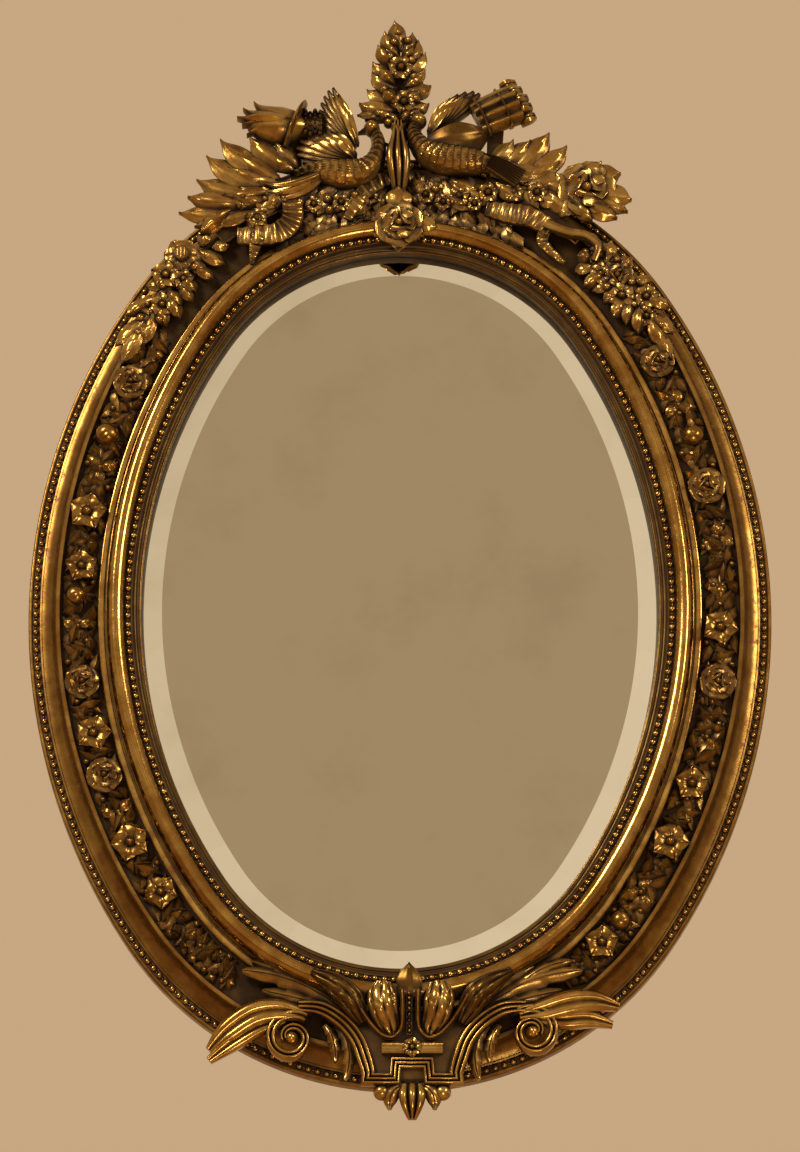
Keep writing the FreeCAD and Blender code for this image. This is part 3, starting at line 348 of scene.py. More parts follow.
def blade(form, root, tip, width, rise, seat, outline=BAY, bend=0, lift=0, edge=0.5, rim=0,
          groove=0, ridge=0, veins=0, count=7, cup=0, lobes=0, steps=13, fall=2.2, tilt=0,
          shares=LEAF_SHARES):
    """A leaf, petal or feather from root to tip.

    edge is the height of its rim as a share of its rise, lift raises the tip, and groove, ridge
    and veins are worked into its face, all in millimetres. cup hollows it, lobes notch it, fall
    is how soon its face drops from the midrib, and tilt turns it about its length.
    """
    across = (root[1] - tip[1], tip[0] - root[0])
    widths = eased(outline, steps)
    rings = []
    for k in range(steps):
        u = k / (steps - 1)
        bow = bend * 4 * u * (1 - u)
        x = root[0] + (tip[0] - root[0]) * u + across[0] * bow
        z = root[1] + (tip[1] - root[1]) * u + across[1] * bow
        slope = bend * 4 * (1 - 2 * u)
        run = Vector((tip[0] - root[0] + across[0] * slope, tip[1] - root[1] + across[1] * slope))
        run.normalize()
        half = width / 2 * max(widths[k][0], 0.02)
        if lobes:
            half *= 1 - 0.34 * (1 - (u * lobes) % 1) * between(0, 0.15, u)
        crown = rise * (0.62 + 0.38 * math.sin(math.pi * min(u * 1.15, 1))) + lift * u * u
        ring = []
        for share in shares:
            reach = abs(share)
            height = crown * (edge + (1 - edge) * (1 - reach**fall)) + tilt * share * rise
            height += cup * rise * (reach**2 - 0.5)
            height += rim * between(0.7, 0.9, reach) * (1 - between(0.95, 1, reach) * 0.6)
            height -= groove * (1 - between(0, 0.2, reach))
            height += ridge * (1 - between(0, 0.2, reach)) * (1 - u)
            if veins:
                wave = 0.5 - 0.5 * math.cos(2 * math.pi * (u * count - reach * 1.3))
                height -= veins * wave**3 * between(0.02, 0.2, reach) * (1 - between(0.8, 0.95, reach))
            place = half * share
            ring.append((x + run.y * place, seat + max(height, 0.3), z - run.x * place))
        for share in (0.8, 0, -0.8):
            place = half * share
            ring.append((x + run.y * place, seat - LET_IN, z - run.x * place))
        rings.append(ring)
    form.loft(rings)


def turned(form, place, outline, seat, sides=14, relief=None):
    """A round form from (radius, height) steps about an axis that stands off the wall."""
    rings = []
    for radius, height in outline:
        ring = []
        for k in range(sides):
            angle = 2 * math.pi * k / sides
            extra = relief(angle, radius) if relief else 0
            x = place[0] + radius * math.cos(angle)
            z = place[1] + radius * math.sin(angle)
            ring.append((x, seat + height + extra, z))
        rings.append(ring)
    form.loft(rings)


def dome(form, place, radius, rise, seat, sides=14, steps=6):
    """A round boss that starts with a short steep wall."""
    outline = [(radius * 0.8, 0)]
    for k in range(steps + 1):
        angle = math.pi / 2 * k / steps * 0.97
        outline.append((radius * math.cos(angle), rise * (0.3 + 0.7 * math.sin(angle))))
    turned(form, place, outline, seat, sides)


def round_point(place, reach, degrees):
    """The place at a reach and an angle from another."""
    angle = math.radians(degrees)
    return (place[0] + reach * math.cos(angle), place[1] + reach * math.sin(angle))


def star_flower(form, place, radius, rise, seat, petals=5, turn=90):
    """Pointed petals with a groove down each, round a raised button."""
    width = 2.1 * radius * math.sin(math.pi / petals) * 0.72
    for k in range(petals):
        angle = turn + 360 * k / petals
        root = round_point(place, radius * 0.12, angle)
        tip = round_point(place, radius, angle)
        blade(form, root, tip, width * 1.1, rise * 0.7, seat, STAR_PETAL, lift=rise * 0.14, edge=0.72,
              groove=1.0, cup=0.26, steps=9, tilt=0.12)
    dome(form, place, radius * 0.25, rise, seat, 12, 4)


def rose(form, place, radius, rise, seat, petals=5, turn=90):
    """Three whorls of cupped petals about a closed heart."""
    whorls = [(1.0, 0.52, petals, 0), (0.72, 0.8, petals, 36), (0.42, 1.0, 3, 10)]
    for share, height, count, shift in whorls:
        reach = radius * share
        width = 2.5 * reach * math.sin(math.pi / count) * 0.86
        for k in range(count):
            angle = turn + shift + 360 * k / count
            root = round_point(place, reach * 0.1, angle)
            tip = round_point(place, reach, angle)
            blade(form, root, tip, width, rise * height * 0.8, seat, PETAL, lift=rise * 0.2,
                  edge=0.74, rim=0.5, cup=0.32, steps=9, tilt=0.2)
    dome(form, place, radius * 0.2, rise * 1.02, seat, 10, 4)


def button_flower(form, place, radius, rise, seat, petals=6, turn=60):
    """Round petals about a broad button with a ribbed face."""
    width = 2.3 * radius * math.sin(math.pi / petals) * 0.8
    for k in range(petals):
        angle = turn + 360 * k / petals
        tip = round_point(place, radius, angle)
        blade(form, place, tip, width, rise * 0.62, seat, PETAL, edge=0.6, rim=0.6, groove=0.8,
              cup=0.2, steps=9)
    outline = [(radius * 0.4, 0), (radius * 0.46, rise * 0.8), (radius * 0.42, rise),
               (radius * 0.36, rise * 0.94)]
    turned(form, place, outline, seat, 16)
    for k in (-1, 0, 1):
        x = place[0] + k * radius * 0.2
        reach = radius * (0.28 if k == 0 else 0.2)
        rows = [(x, place[1] + step * reach, radius * 0.13, 1.4, seat + rise * 0.9) for step in (-1, 0, 1)]
        carve(form, rows, ROUNDED, steps=6)


def fruit(form, place, radius, seat, direction=90):
    """A plum with a crease."""
    sides = 18
    outline = [(radius * 0.8, 0)]
    for k in range(9):
        angle = math.pi / 2 * k / 8 * 0.98
        outline.append((radius * math.cos(angle), radius * 0.3 + radius * 0.95 * math.sin(angle)))
    crease = math.radians(direction)

    def fold(angle, reach):
        across = math.sin(angle - crease) * reach
        return -1.2 * math.exp(-((across / 1.6) ** 2)) * (1 if math.cos(angle - crease) > 0 else 0)

    turned(form, place, outline, seat, sides, fold)


def bay_leaf(form, root, tip, width, rise, seat, bend=0):
    """A plump pointed leaf with a sunk midrib; no two lie at the same height or tilt."""
    lean = math.sin(root[0] * 1.7 + tip[1] * 2.9)
    blade(form, root, tip, width * 1.08, rise * (1 + 0.22 * lean), seat, BAY, bend, lift=rise * 0.2,
          edge=0.34, rim=0.7, groove=1.3, veins=0.8, count=4, steps=17, fall=1.25, tilt=0.2 * lean)


def small_leaf(form, root, tip, width, rise, seat):
    """A leaf with few faces, for the ones that are carved by the hundred."""
    lean = math.sin(root[0] * 2.3 + tip[1] * 1.9)
    blade(form, root, tip, width, rise * (1 + 0.25 * lean), seat, BAY, 0.08 * lean, edge=0.3, steps=7,
          fall=1.2, tilt=0.25 * lean, shares=FEW_SHARES)


# ---------------------------------------------------------------- finishes


class Sum:
    """A number in a material that can be added, multiplied and so on like any other."""

    def __init__(self, finish, socket):
        self.finish = finish
        self.socket = socket

    def maths(self, operation, *values):
        """A Math node on numbers."""
        inputs = dict(enumerate(values))
        return self.finish.number("ShaderNodeMath", {"operation": operation}, inputs)

    def __add__(self, other):
        return self.maths("ADD", self, other)

    def __sub__(self, other):
        return self.maths("SUBTRACT", self, other)

    def __rsub__(self, other):
        return self.maths("SUBTRACT", other, self)

    def __mul__(self, other):
        return self.maths("MULTIPLY", self, other)

    __radd__ = __add__
    __rmul__ = __mul__

    def eased(self, low, high):
        """0 below low and 1 above high."""
        settings = {"interpolation_type": "SMOOTHSTEP"}
        inputs = {"Value": self, "From Min": low, "From Max": high}
        return self.finish.number("ShaderNodeMapRange", settings, inputs)


class Finish:
    """A material under construction, with one shader that everything feeds."""

    def __init__(self, name):
        self.material = bpy.data.materials.new(name)
        self.material.use_nodes = True
        self.tree = self.material.node_tree
        self.tree.nodes.clear()
        self.shader = self.node("ShaderNodeBsdfPrincipled")
        self.node("ShaderNodeOutputMaterial", inputs={"Surface": self.shader.outputs[0]})
        self.place = self.node("ShaderNodeTexCoord").outputs["Object"]

    def node(self, kind, settings=None, inputs=None):
        """A new node, with its settings and then its inputs set."""
        node = self.tree.nodes.new(kind)
        for key, value in (settings or {}).items():
            setattr(node, key, value)
        self.feed(node, inputs or {})
        return node

    def feed(self, node, inputs):
        """Links or sets a node's inputs."""
        for key, value in inputs.items():
            if isinstance(value, Sum):
                value = value.socket
            if isinstance(value, bpy.types.NodeSocket):
                self.tree.links.new(value, node.inputs[key])
            else:
                node.inputs[key].default_value = value

    def number(self, kind, settings, inputs):
        """The first output of a new node, as a number."""
        return Sum(self, self.node(kind, settings, inputs).outputs[0])

    def noise(self, scale, detail=3, roughness=0.55, vector=None):
        inputs = {"Vector": vector or self.place, "Scale": scale, "Detail": detail, "Roughness": roughness}
        return self.number("ShaderNodeTexNoise", {}, inputs)

    def stretched(self, scale):
        """Object coordinates stretched along each axis."""
        return self.node("ShaderNodeMapping", {}, {"Vector": self.place, "Scale": scale}).outputs[0]

    def mix(self, share, first, second):
        """A blend of two colours."""
        settings = {"data_type": "RGBA"}
        return self.node("ShaderNodeMix", settings, {0: share, 6: first, 7: second}).outputs[2]

    def hollow(self, distance):
        """1 in the open, towards 0 in a hollow."""
        node = self.node("ShaderNodeAmbientOcclusion", {"samples": 6}, {"Distance": distance})
        return Sum(self, node.outputs["AO"])

    def depth(self):
        """The place along Y, which is lower towards the front."""
        return Sum(self, self.node("ShaderNodeSeparateXYZ", {}, {0: self.place}).outputs[1])

    def bump(self, height, depth, strength):
        """A normal for relief of a depth in metres."""
        inputs = {"Height": height, "Distance": depth, "Strength": strength}
        return self.node("ShaderNodeBump", {}, inputs).outputs[0]

    def shade(self, **inputs):
        """Feeds the shader and gives the material."""
        self.feed(self.shader, {key.replace("_", " "): value for key, value in inputs.items()})
        return self.material


def darker(colour, share):
    """The colour with its channels taken down to a share."""
    return tuple(channel * share for channel in colour[:3]) + (1,)


def gilding(name, leaf, colours, reach, low, high, gloss, rub):
    """Gold leaf over red bole, toned with umber glaze in the hollows; the same umber paints the shade
    in hollows and between parts, found by ambient occlusion.

    reach is how wide a hollow still counts, low and high where the glaze and painted shade end
    and the unglazed, unshaded leaf starts, gloss the leaf's roughness and rub how much bole shows.
    """
    finish = Finish(name)
    patches = finish.noise(38, 4, 0.62)
    grain = finish.noise(300, 3, 0.6)
    # ambient occlusion at two reaches: low in hollows and between parts, where umber glaze and painted shade
    # go
    unshaded_open_air = finish.hollow(reach) * (finish.hollow(reach * 4) * 0.5 + 0.5)
    unshaded_open_air = unshaded_open_air + (patches - 0.5) * 0.42 + (grain - 0.5) * 0.14
    clean_and_unshaded = unshaded_open_air.eased(low, high)
    rubbed = (finish.noise(95, 5, 0.68) + clean_and_unshaded * 0.06).eased(0.60, 0.70) * rub
    tarnish = patches.eased(0.3, 0.75)
    deep = tuple(channel * share for channel, share in zip(leaf, (0.55, 0.44, 0.34))) + (1,)
    gold = finish.mix(tarnish, deep, tuple(leaf))
    gold = finish.mix(rubbed, gold, tuple(colours.bole))
    return finish.shade(
        # umber glaze and painted shade where the leaf isn't open, gold leaf elsewhere
        Base_Color=finish.mix(clean_and_unshaded, tuple(colours.umber_and_shade), gold),
        Metallic=clean_and_unshaded * (1 - rubbed * 0.7) * 0.82 + 0.16,
        Roughness=gloss + (1 - clean_and_unshaded) * 0.3 + rubbed * 0.2 + (grain - 0.5) * 0.12,
        Specular_IOR_Level=0.3,
        Normal=finish.bump(grain * 0.4 + finish.noise(130, 3) * 0.9, 0.0004, 0.4),
    )


def bare_wood(name, pale, dark, rings=7):
    """Planed softwood, darkened by age, with its grain along Z."""
    finish = Finish(name)
    along = finish.stretched((1, 1, 0.12))
    broad = finish.noise(rings * 6, 4, 0.6, along)
    fine = finish.noise(rings * 70, 4, 0.7, along)
    share = (broad * 0.65 + fine * 0.35).eased(0.32, 0.68)
    stain = finish.noise(5, 4, 0.6).eased(0.4, 0.7)
    tone = finish.mix(share, dark, pale)
    tone = finish.mix(stain * 0.45, tone, darker(dark, 0.45))
    return finish.shade(
        Base_Color=tone, Roughness=0.62 + (1 - share) * 0.2,
        Normal=finish.bump(fine + broad * 0.5, 0.0006, 0.5),
    )


def gessoed_front(name, front, pale, dark, colours):
    """Bare pine behind, gesso and dark leaf with painted shade on the front face that the frieze lies on."""
    finish = Finish(name)
    faced = 1 - finish.depth().eased(front, front + 0.0006)
    along = finish.stretched((1, 1, 0.12))
    wood = finish.noise(42, 4, 0.65, along).eased(0.3, 0.7)
    grain = finish.noise(700, 3, 0.8)
    # random patches of dark leaf, and painted shade in the hollows that ambient occlusion finds
    unshaded_leaf_patches = (finish.noise(60, 4, 0.6) + (finish.hollow(0.02) - 0.5) * 0.4).eased(0.5, 0.9)
    leaf = finish.mix(unshaded_leaf_patches, tuple(colours.umber_and_shade), darker(colours.gold, 0.2))
    return finish.shade(
        Base_Color=finish.mix(faced, finish.mix(wood, dark, pale), leaf),
        Metallic=faced * unshaded_leaf_patches * 0.5,
        Roughness=0.7 + (grain - 0.5) * 0.2,
        Specular_IOR_Level=0.12,
        Normal=finish.bump(grain, 0.0009, 0.5),
    )


def worn_metal(name, colour, dull, gloss):
    """Brass or steel, dulled in patches and finely scratched along Z."""
    finish = Finish(name)
    patches = finish.noise(160, 4, 0.6)
    scratches = finish.noise(900, 3, 0.7, finish.stretched((1, 1, 0.08)))
    share = (patches * 0.7 + scratches * 0.3).eased(0.35, 0.65)
    return finish.shade(
        Base_Color=finish.mix(share, dull, colour), Metallic=share * 0.3 + 0.68,
        Roughness=gloss + (1 - share) * 0.25, Normal=finish.bump(scratches, 0.0002, 0.4),
    )


def silvering(name):
    """Plate glass over silver, nearly spotless with a faint haze, and grey paint behind."""
    finish = Finish(name)
    rear = GLASS_BOX[1][1]
    behind = finish.depth().eased(rear - 0.0006, rear - 0.0002)
    haze = finish.noise(9, 4, 0.6).eased(0.45, 0.8)
    silver = finish.mix(haze, (0.62, 0.63, 0.58, 1), (0.55, 0.55, 0.49, 1))
    return finish.shade(
        Base_Color=finish.mix(behind, silver, (0.10, 0.09, 0.08, 1)),
        Metallic=1 - behind, Roughness=haze * 0.012 + 0.012 + behind * 0.5,
    )


def hide(name):
    """Brown leather with fine pores."""
    finish = Finish(name)
    pores = finish.number("ShaderNodeTexVoronoi", {}, {"Vector": finish.place, "Scale": 900})
    tone = finish.noise(120, 4)
    return finish.shade(
        Base_Color=finish.mix(tone, (0.055, 0.028, 0.014, 1), (0.15, 0.082, 0.045, 1)),
        Roughness=0.6 + tone * 0.15, Normal=finish.bump(pores, 0.0004, 0.6),
    )


FINISHES = {}


def make_finishes(colours):
    """Makes every finish, the gilt ones from the set colours."""
    gold = colours.gold
    bright = colours.bright
    # name, leaf, reach, low, high, gloss and rub
    gilt = {
        "carving": ("antique_gilt_carving", bright, 0.009, 0.50, 1.04, 0.20, 0.25),
        "strap": ("gilt_strapwork", bright, 0.004, 0.30, 0.84, 0.20, 0.25),
        # shaded_gilt: a darker copy of the gilt that paints shade on the block, the palmette, the round
        # acanthus and the dove's front wing
        "shade": ("shaded_gilt", darker(gold, 0.5), 0.012, 0.42, 1.00, 0.30, 0.30),
        "frieze": ("gilt_composition", gold, 0.008, 0.36, 0.92, 0.24, 0.25),
        "moulding": ("toned_gilt_moulding", gold, 0.014, 0.36, 0.92, 0.30, 0.70),
        "round": ("burnished_gilt", bright, 0.010, 0.16, 0.66, 0.15, 0.45),
        "slip": ("dark_gilt_slip", darker(gold, 0.55), 0.012, 0.45, 0.98, 0.28, 0.30),
        "pearl": ("gilt_pearls", bright, 0.004, 0.34, 0.72, 0.18, 0.20),
    }
    for key, (name, leaf, *wear) in gilt.items():
        FINISHES[key] = gilding(name, leaf, colours, *wear)

    pale = (0.50, 0.31, 0.15, 1)
    dark = (0.27, 0.15, 0.07, 1)
    FINISHES.update(
        pine=bare_wood("aged_pine", pale, dark),
        # the carcass and batten fronts: dark leaf with painted shade, for the sunk frieze ground and the gaps
        # behind the crest's ornaments
        carcass=gessoed_front("gessoed_pine", -GROUND * MM + 0.0002, pale, dark, colours),
        batten=gessoed_front("gessoed_batten", -CREST * MM + 0.0002, pale, dark, colours),
        board=bare_wood("poplar_board", (0.33, 0.22, 0.13, 1), (0.17, 0.10, 0.055, 1), 4),
        brass=worn_metal("dull_brass", (0.50, 0.36, 0.14, 1), (0.20, 0.12, 0.05, 1), 0.32),
        steel=worn_metal("dull_steel", (0.42, 0.41, 0.40, 1), (0.16, 0.12, 0.10, 1), 0.38),
        leather=hide("leather_pads"),
        silver=silvering("silvered_plate"),
    )


def dress(node, finish):
    """Gives a solid of the frame its finish."""
    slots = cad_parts[node].material_slots
    for slot in slots:
        slot.link = "OBJECT"
        slot.material = FINISHES[finish]


# ---------------------------------------------------------------- mouldings, pearls and plate


def bow(first, control, last, count):
    """A curve between two corners that leans towards a control corner."""
    corners = []
    for k in range(count + 1):
        t = k / count
        corners.append(tuple(
            a * (1 - t) ** 2 + 2 * b * t * (1 - t) + c * t * t for a, b, c in zip(first, control, last)
        ))
    return corners


def quarter(centre, inset_reach, rise_reach, start, finish, count):
    """Corners on an ellipse about a centre, from one angle to another."""
    corners = []
    for k in range(count + 1):
        angle = math.radians(start + (finish - start) * k / count)
        corners.append((centre[0] + inset_reach * math.cos(angle), centre[1] + rise_reach * math.sin(angle)))
    return corners


# sections of the mouldings, as (inset, rise)
OUTER_PROFILE = [
    (0, REAR), (0, 17.5), *quarter((2.0, 17.5), 2.0, 3.5, 180, 90, 5), (3.4, 20.9), (4.0, 19.4),
    (11.2, 19.4), (11.8, 21.4), (13.4, 21.9), *bow((14.2, 23.0), (27.5, 27.0), (28.2, 45.0), 14),
    (28.6, 47.2), (29.4, 48), (32.6, 48), (FRIEZE_IN, 47.4), (FRIEZE_IN, GROUND - 1), (FRIEZE_IN, REAR),
]
ROUND_PROFILE = [
    (STEP_IN, GROUND), (STEP_IN, 46.0), *quarter((72.8, 46.0), 1.8, 2.0, 180, 90, 4), (77.0, 48.0),
    (77.6, 46.6), (78.8, 46.6), *quarter((88.5, 49.0), 9.6, 21.0, 180, 90, 14),
    *quarter((88.5, 61.0), 9.4, 9.0, 90, 4, 10)[1:], (SLIP_IN, 60.6), (SLIP_IN, GROUND),
]
SLIP_PROFILE = [
    (SLIP_IN, GROUND), (SLIP_IN, 60.2), (98.6, 60.6), (99.0, 59.0), (104.4, 59.0), (104.8, 60.2),
    (105.9, 60.2), (106.3, 58.6), *bow((107.0, 58.6), (107.4, 55.4), (110.6, 55.2), 6), (110.9, 56.4),
    (112.3, 56.4), (112.7, 54.6), *quarter((112.9, 52.6), 2.1, 2.0, 90, 0, 5), (SIGHT_IN, 41.2),
    (104, GROUND),
]


def sweep(form, profile):
    """Runs a section all the way round the oval."""
    rings = []
    for bearing in OVAL.bearings():
        rings.append([(x, rise, z) for (x, z), rise in ((OVAL.place(bearing, i), r) for i, r in profile)])
    form.loft(rings, closed=True)


class MIRROR_OT_mouldings(bpy.types.Operator):
    """Runs the three mouldings round the oval"""

    bl_idname = "mirror.mouldings"
    bl_label = "Mouldings"

    def execute(self, context):
        for node, profile, finish, slot in (
            ("outer_moulding", OUTER_PROFILE, "moulding", "gilt_moulding"),
            ("burnished_round", ROUND_PROFILE, "round", "burnished_gilt"),
            ("sight_slip", SLIP_PROFILE, "slip", "toned_gilt"),
        ):
            form = Form()
            sweep(form, profile)
            stand_for(form, node, FINISHES[finish], slot, suffix="_run", sharp=26)
        return {"FINISHED"}


def pearl_tree():
    """Pearls on a curve, with a small spacer between each two."""
    tree = bpy.data.node_groups.new("pearl_row", "GeometryNodeTree")
    face = tree.interface
    face.new_socket("Geometry", in_out="INPUT", socket_type="NodeSocketGeometry")
    for name, kind in (("Count", "Int"), ("Radius", "Float"), ("Spacer", "Float"), ("Finish", "Material")):
        face.new_socket(name, in_out="INPUT", socket_type="NodeSocket" + kind)
    face.new_socket("Geometry", in_out="OUTPUT", socket_type="NodeSocketGeometry")

    def add(kind, operation=None, **inputs):
        """The first output of a new node; _0 and _1 stand for sockets by number."""
        node = tree.nodes.new(kind)
        if operation:
            node.operation = operation
        for key, value in inputs.items():
            socket = node.inputs[int(key[1:]) if key[0] == "_" else key]
            if isinstance(value, bpy.types.NodeSocket):
                tree.links.new(value, socket)
            else:
                socket.default_value = value
        return node.outputs[0]

    given = tree.nodes.new("NodeGroupInput").outputs
    curve = add("GeometryNodeMeshToCurve", Mesh=given["Geometry"])
    double = add("ShaderNodeMath", "MULTIPLY", _0=given["Count"], _1=2)
    points = add("GeometryNodeResampleCurve", Curve=curve, Count=double)
    odd = add("ShaderNodeMath", "MODULO", _0=add("GeometryNodeInputIndex"), _1=2)
    even = add("FunctionNodeBooleanMath", "NOT", _0=odd)
    pearl = add("GeometryNodeMeshIcoSphere", Radius=given["Radius"], Subdivisions=2)
    spacer = add("GeometryNodeMeshIcoSphere", Radius=given["Spacer"], Subdivisions=1)
    joined = tree.nodes.new("GeometryNodeJoinGeometry")
    for chosen, bead in ((even, pearl), (odd, spacer)):
        beads = add("GeometryNodeInstanceOnPoints", Points=points, Selection=chosen, Instance=bead)
        tree.links.new(beads, joined.inputs[0])
    real = add("GeometryNodeRealizeInstances", Geometry=joined.outputs[0])
    soft = add("GeometryNodeSetShadeSmooth", Geometry=real)
    finished = add("GeometryNodeSetMaterial", Geometry=soft, Material=given["Finish"])
    tree.links.new(finished, tree.nodes.new("NodeGroupOutput").inputs[0])
    return tree


def run_tree(tree, name, points, values, node):
    """Runs a tree on a closed row of points and keeps the result as a plain mesh."""
    line = bpy.data.meshes.new(name + "_line")
    edges = [(k, (k + 1) % len(points)) for k in range(len(points))]
    line.from_pydata(points, edges, [])
    holder = bpy.data.objects.new(name, line)
    bpy.context.scene.collection.objects.link(holder)
    modifier = holder.modifiers.new("run", "NODES")
    modifier.node_group = tree
    for item in tree.interface.items_tree:
        if item.in_out == "INPUT" and item.name in values:
            modifier[item.identifier] = values[item.name]
    evaluated = holder.evaluated_get(bpy.context.evaluated_depsgraph_get())
    mesh = bpy.data.meshes.new_from_object(evaluated)
    holder.modifiers.remove(modifier)
    holder.data = mesh
    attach(holder, "frame")
    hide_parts(node)


class MIRROR_OT_pearls(bpy.types.Operator):
    """Strings the two rows of pearls"""

    bl_idname = "mirror.pearls"
    bl_label = "Pearls"

    def execute(self, context):
        sizes = context.scene.mirror_sizes
        tree = pearl_tree()
        for node, inset, rise, count in (
            ("outer_bead_row", OUTER_PEARLS_IN, PEARL_SEAT - PEARL_SUNK, sizes.outer_pearls),
            ("inner_bead_row", INNER_PEARLS_IN, SLIP_TOP, sizes.inner_pearls),
        ):
            places = round_oval(inset, rise, OVAL.bearings(90, 110))
            points = [(x * MM, -height * MM, z * MM) for x, height, z in places]
            values = {
                "Count": count, "Radius": sizes.pearl / 2, "Spacer": sizes.pearl * SPACER_SHARE,
                "Finish": FINISHES["pearl"],
            }
            run_tree(tree, node + "_pearls", points, values, node)
        return {"FINISHED"}


class MIRROR_OT_plate(bpy.types.Operator):
    """Lays the bevelled plate"""

    bl_idname = "mirror.plate"
    bl_label = "Mirror plate"

    def execute(self, context):
        bevel = context.scene.mirror_sizes.bevel / MM
        edge = HALF_WIDTH - GLASS_BOX[1][0] / MM
        front = -GLASS_BOX[0][1] / MM
        rear = -GLASS_BOX[1][1] / MM
        profile = [(edge, rear), (edge, front - BEVEL_DROP), (edge + bevel, front)]
        form = Form()
        form.loft([round_oval(inset, rise, OVAL.bearings(60, 90)) for inset, rise in profile])
        stand_for(form, "mirror_plate", FINISHES["silver"], "silvered_glass", suffix="_silvered", sharp=2)
        return {"FINISHED"}


class MIRROR_OT_carcass(bpy.types.Operator):
    """Finishes the carcass, the back and the hangers"""

    bl_idname = "mirror.carcass"
    bl_label = "Carcass and back"

    def execute(self, context):
        for side in ("top", "right", "left", "bottom"):
            dress("carcass_" + side, "carcass")
        for node, finish in {
            "glazing_blocks": "pine", "backboard": "board", "backboard_brads": "steel",
            "wall_bumpers": "leather", "hanger_straps": "brass", "hanger_screws": "steel",
            "left_hanger_ring": "brass", "right_hanger_ring": "brass", "crest_batten": "batten",
        }.items():
            dress(node, finish)
        return {"FINISHED"}


# ---------------------------------------------------------------- crest


def feather_scales(count, rows, depth):
    """Small overlapping feathers over a rounded body."""

    def relief(u, across):
        row = u * count
        shift = 0.5 if int(row) % 2 else 0
        column = (across * rows + shift) % 1
        tip = 0.35 + 0.65 * math.sin(math.pi * column)
        return depth * (tip * (1 - (row % 1)) - 0.5)

    return relief


def vault(count, flatness=1.0):
    """A rounded section with evenly spread corners."""
    section = []
    for k in range(count + 1):
        angle = math.pi * k / count
        section.append((-math.cos(angle), max(math.sin(angle), 0) ** flatness))
    return section


FINE_ROUND = vault(36, 0.8)


def crest_rows(rows):
    """Rows of (x, z, width, rise) in the crest, ready to carve."""
    return [(*crest_at(x, z), width, rise, CREST) for x, z, width, rise in rows]


def wing_fan(form, root, tips, width, rise):
    """Long feathers that fan out from the wing's root, each over the one before."""
    for k, tip in enumerate(tips):
        share = k / (len(tips) - 1)
        blade(form, crest_at(*root), crest_at(*tip), width, rise * (0.62 + 0.38 * share), CREST, FEATHER,
              edge=0.72, rim=0.9, ridge=0.9, veins=0.5, count=12, cup=0.22, steps=14)


def bird_head(form, place, beak, radius, rise):
    """A round head with a short beak and an eye."""
    dome(form, place, radius, rise, CREST, 18, 8)
    blade(form, place, beak, radius * 0.9, rise * 0.8, CREST, BEAK, edge=0.4, ridge=1.2, steps=8)
    toward = Vector((beak[0] - place[0], beak[1] - place[1])).normalized()
    eye = (place[0] + toward.x * radius * 0.25 - toward.y * radius * 0.3,
           place[1] + toward.y * radius * 0.25 + toward.x * radius * 0.3)
    dome(form, eye, radius * 0.17, 1.4, CREST + rise * 0.86, 8, 3)


class MIRROR_OT_doves(bpy.types.Operator):
    """Carves the two doves of the crest"""

    bl_idname = "mirror.doves"
    bl_label = "Doves"

    def execute(self, context):
        finish = FINISHES["carving"]
        scales = feather_scales(19, 5.5, 2.8)

        left = Form()
        for x, z, rise in ((-132, -58, 15), (-140, -51, 19), (-138, -44, 22)):
            blade(left, crest_at(-76, -29), crest_at(x, z), 11, rise, CREST, FEATHER, 0.13, edge=0.6,
                  rim=1.6, groove=1.2, steps=22)
        raised = [(-84, 22), (-84, 30), (-83, 38), (-81, 46), (-78, 53), (-74, 59), (-69, 62), (-63, 54)]
        wing_fan(left, (-44, 0), raised, 11, 19)
        folded = [(-100, -18), (-105, -11), (-106, -4), (-102, 3), (-94, 9), (-84, 12), (-72, 12)]
        wing_fan(left, (-46, -14), folded, 14, 22)
        carve(left, crest_rows([
            (-108, -31, 10, 8), (-92, -27, 17, 14), (-74, -29, 27, 22), (-54, -32, 32, 26),
            (-37, -29, 29, 27), (-26, -17, 21, 25), (-22, -2, 16, 23), (-24, 10, 13, 22), (-29, 16, 11, 18),
        ]), FINE_ROUND, steps=114, relief=scales)
        bird_head(left, crest_at(-29, 17), crest_at(-43, 13), 8.5, 23)
        stand_for(left, "left_dove", finish)

        right = Form()
        fluting = [(k / 16 - 1, 0.9 - 0.13 * math.cos(math.pi * k / 4) ** 2) for k in range(33)]
        tail = crest_rows([(82, -16, 13, 16), (96, -22, 17, 17), (110, -30, 20, 17), (123, -38, 22, 15)])
        carve(right, tail, [(-1, 0.4), *fluting, (1, 0.4)], steps=16)
        wing_fan(right, (30, 12), [(84, 50), (82, 56), (76, 58), (68, 57), (60, 54), (52, 49)], 13, 21)
        carve(right, crest_rows([
            (100, -27, 14, 10), (86, -19, 22, 17), (66, -18, 31, 24), (46, -16, 33, 27), (29, -9, 27, 27),
            (18, 3, 19, 25), (14, 14, 15, 23), (18, 24, 12, 18),
        ]), FINE_ROUND, steps=114, relief=scales)
        bird_head(right, crest_at(19, 25), crest_at(6, 20), 8.5, 23)
        stand_for(right, "right_dove", finish)

        wing = Form()
        blade(wing, crest_at(28, -2), crest_at(90, 12), 36, 23, CREST, FEATHER, -0.05, edge=0.5, rim=2.2,
              groove=1.5, steps=30, tilt=-0.3, fall=1.5)
        wing.to_object("right_dove_wing", FINISHES["shade"], "gilt_carving")
        return {"FINISHED"}


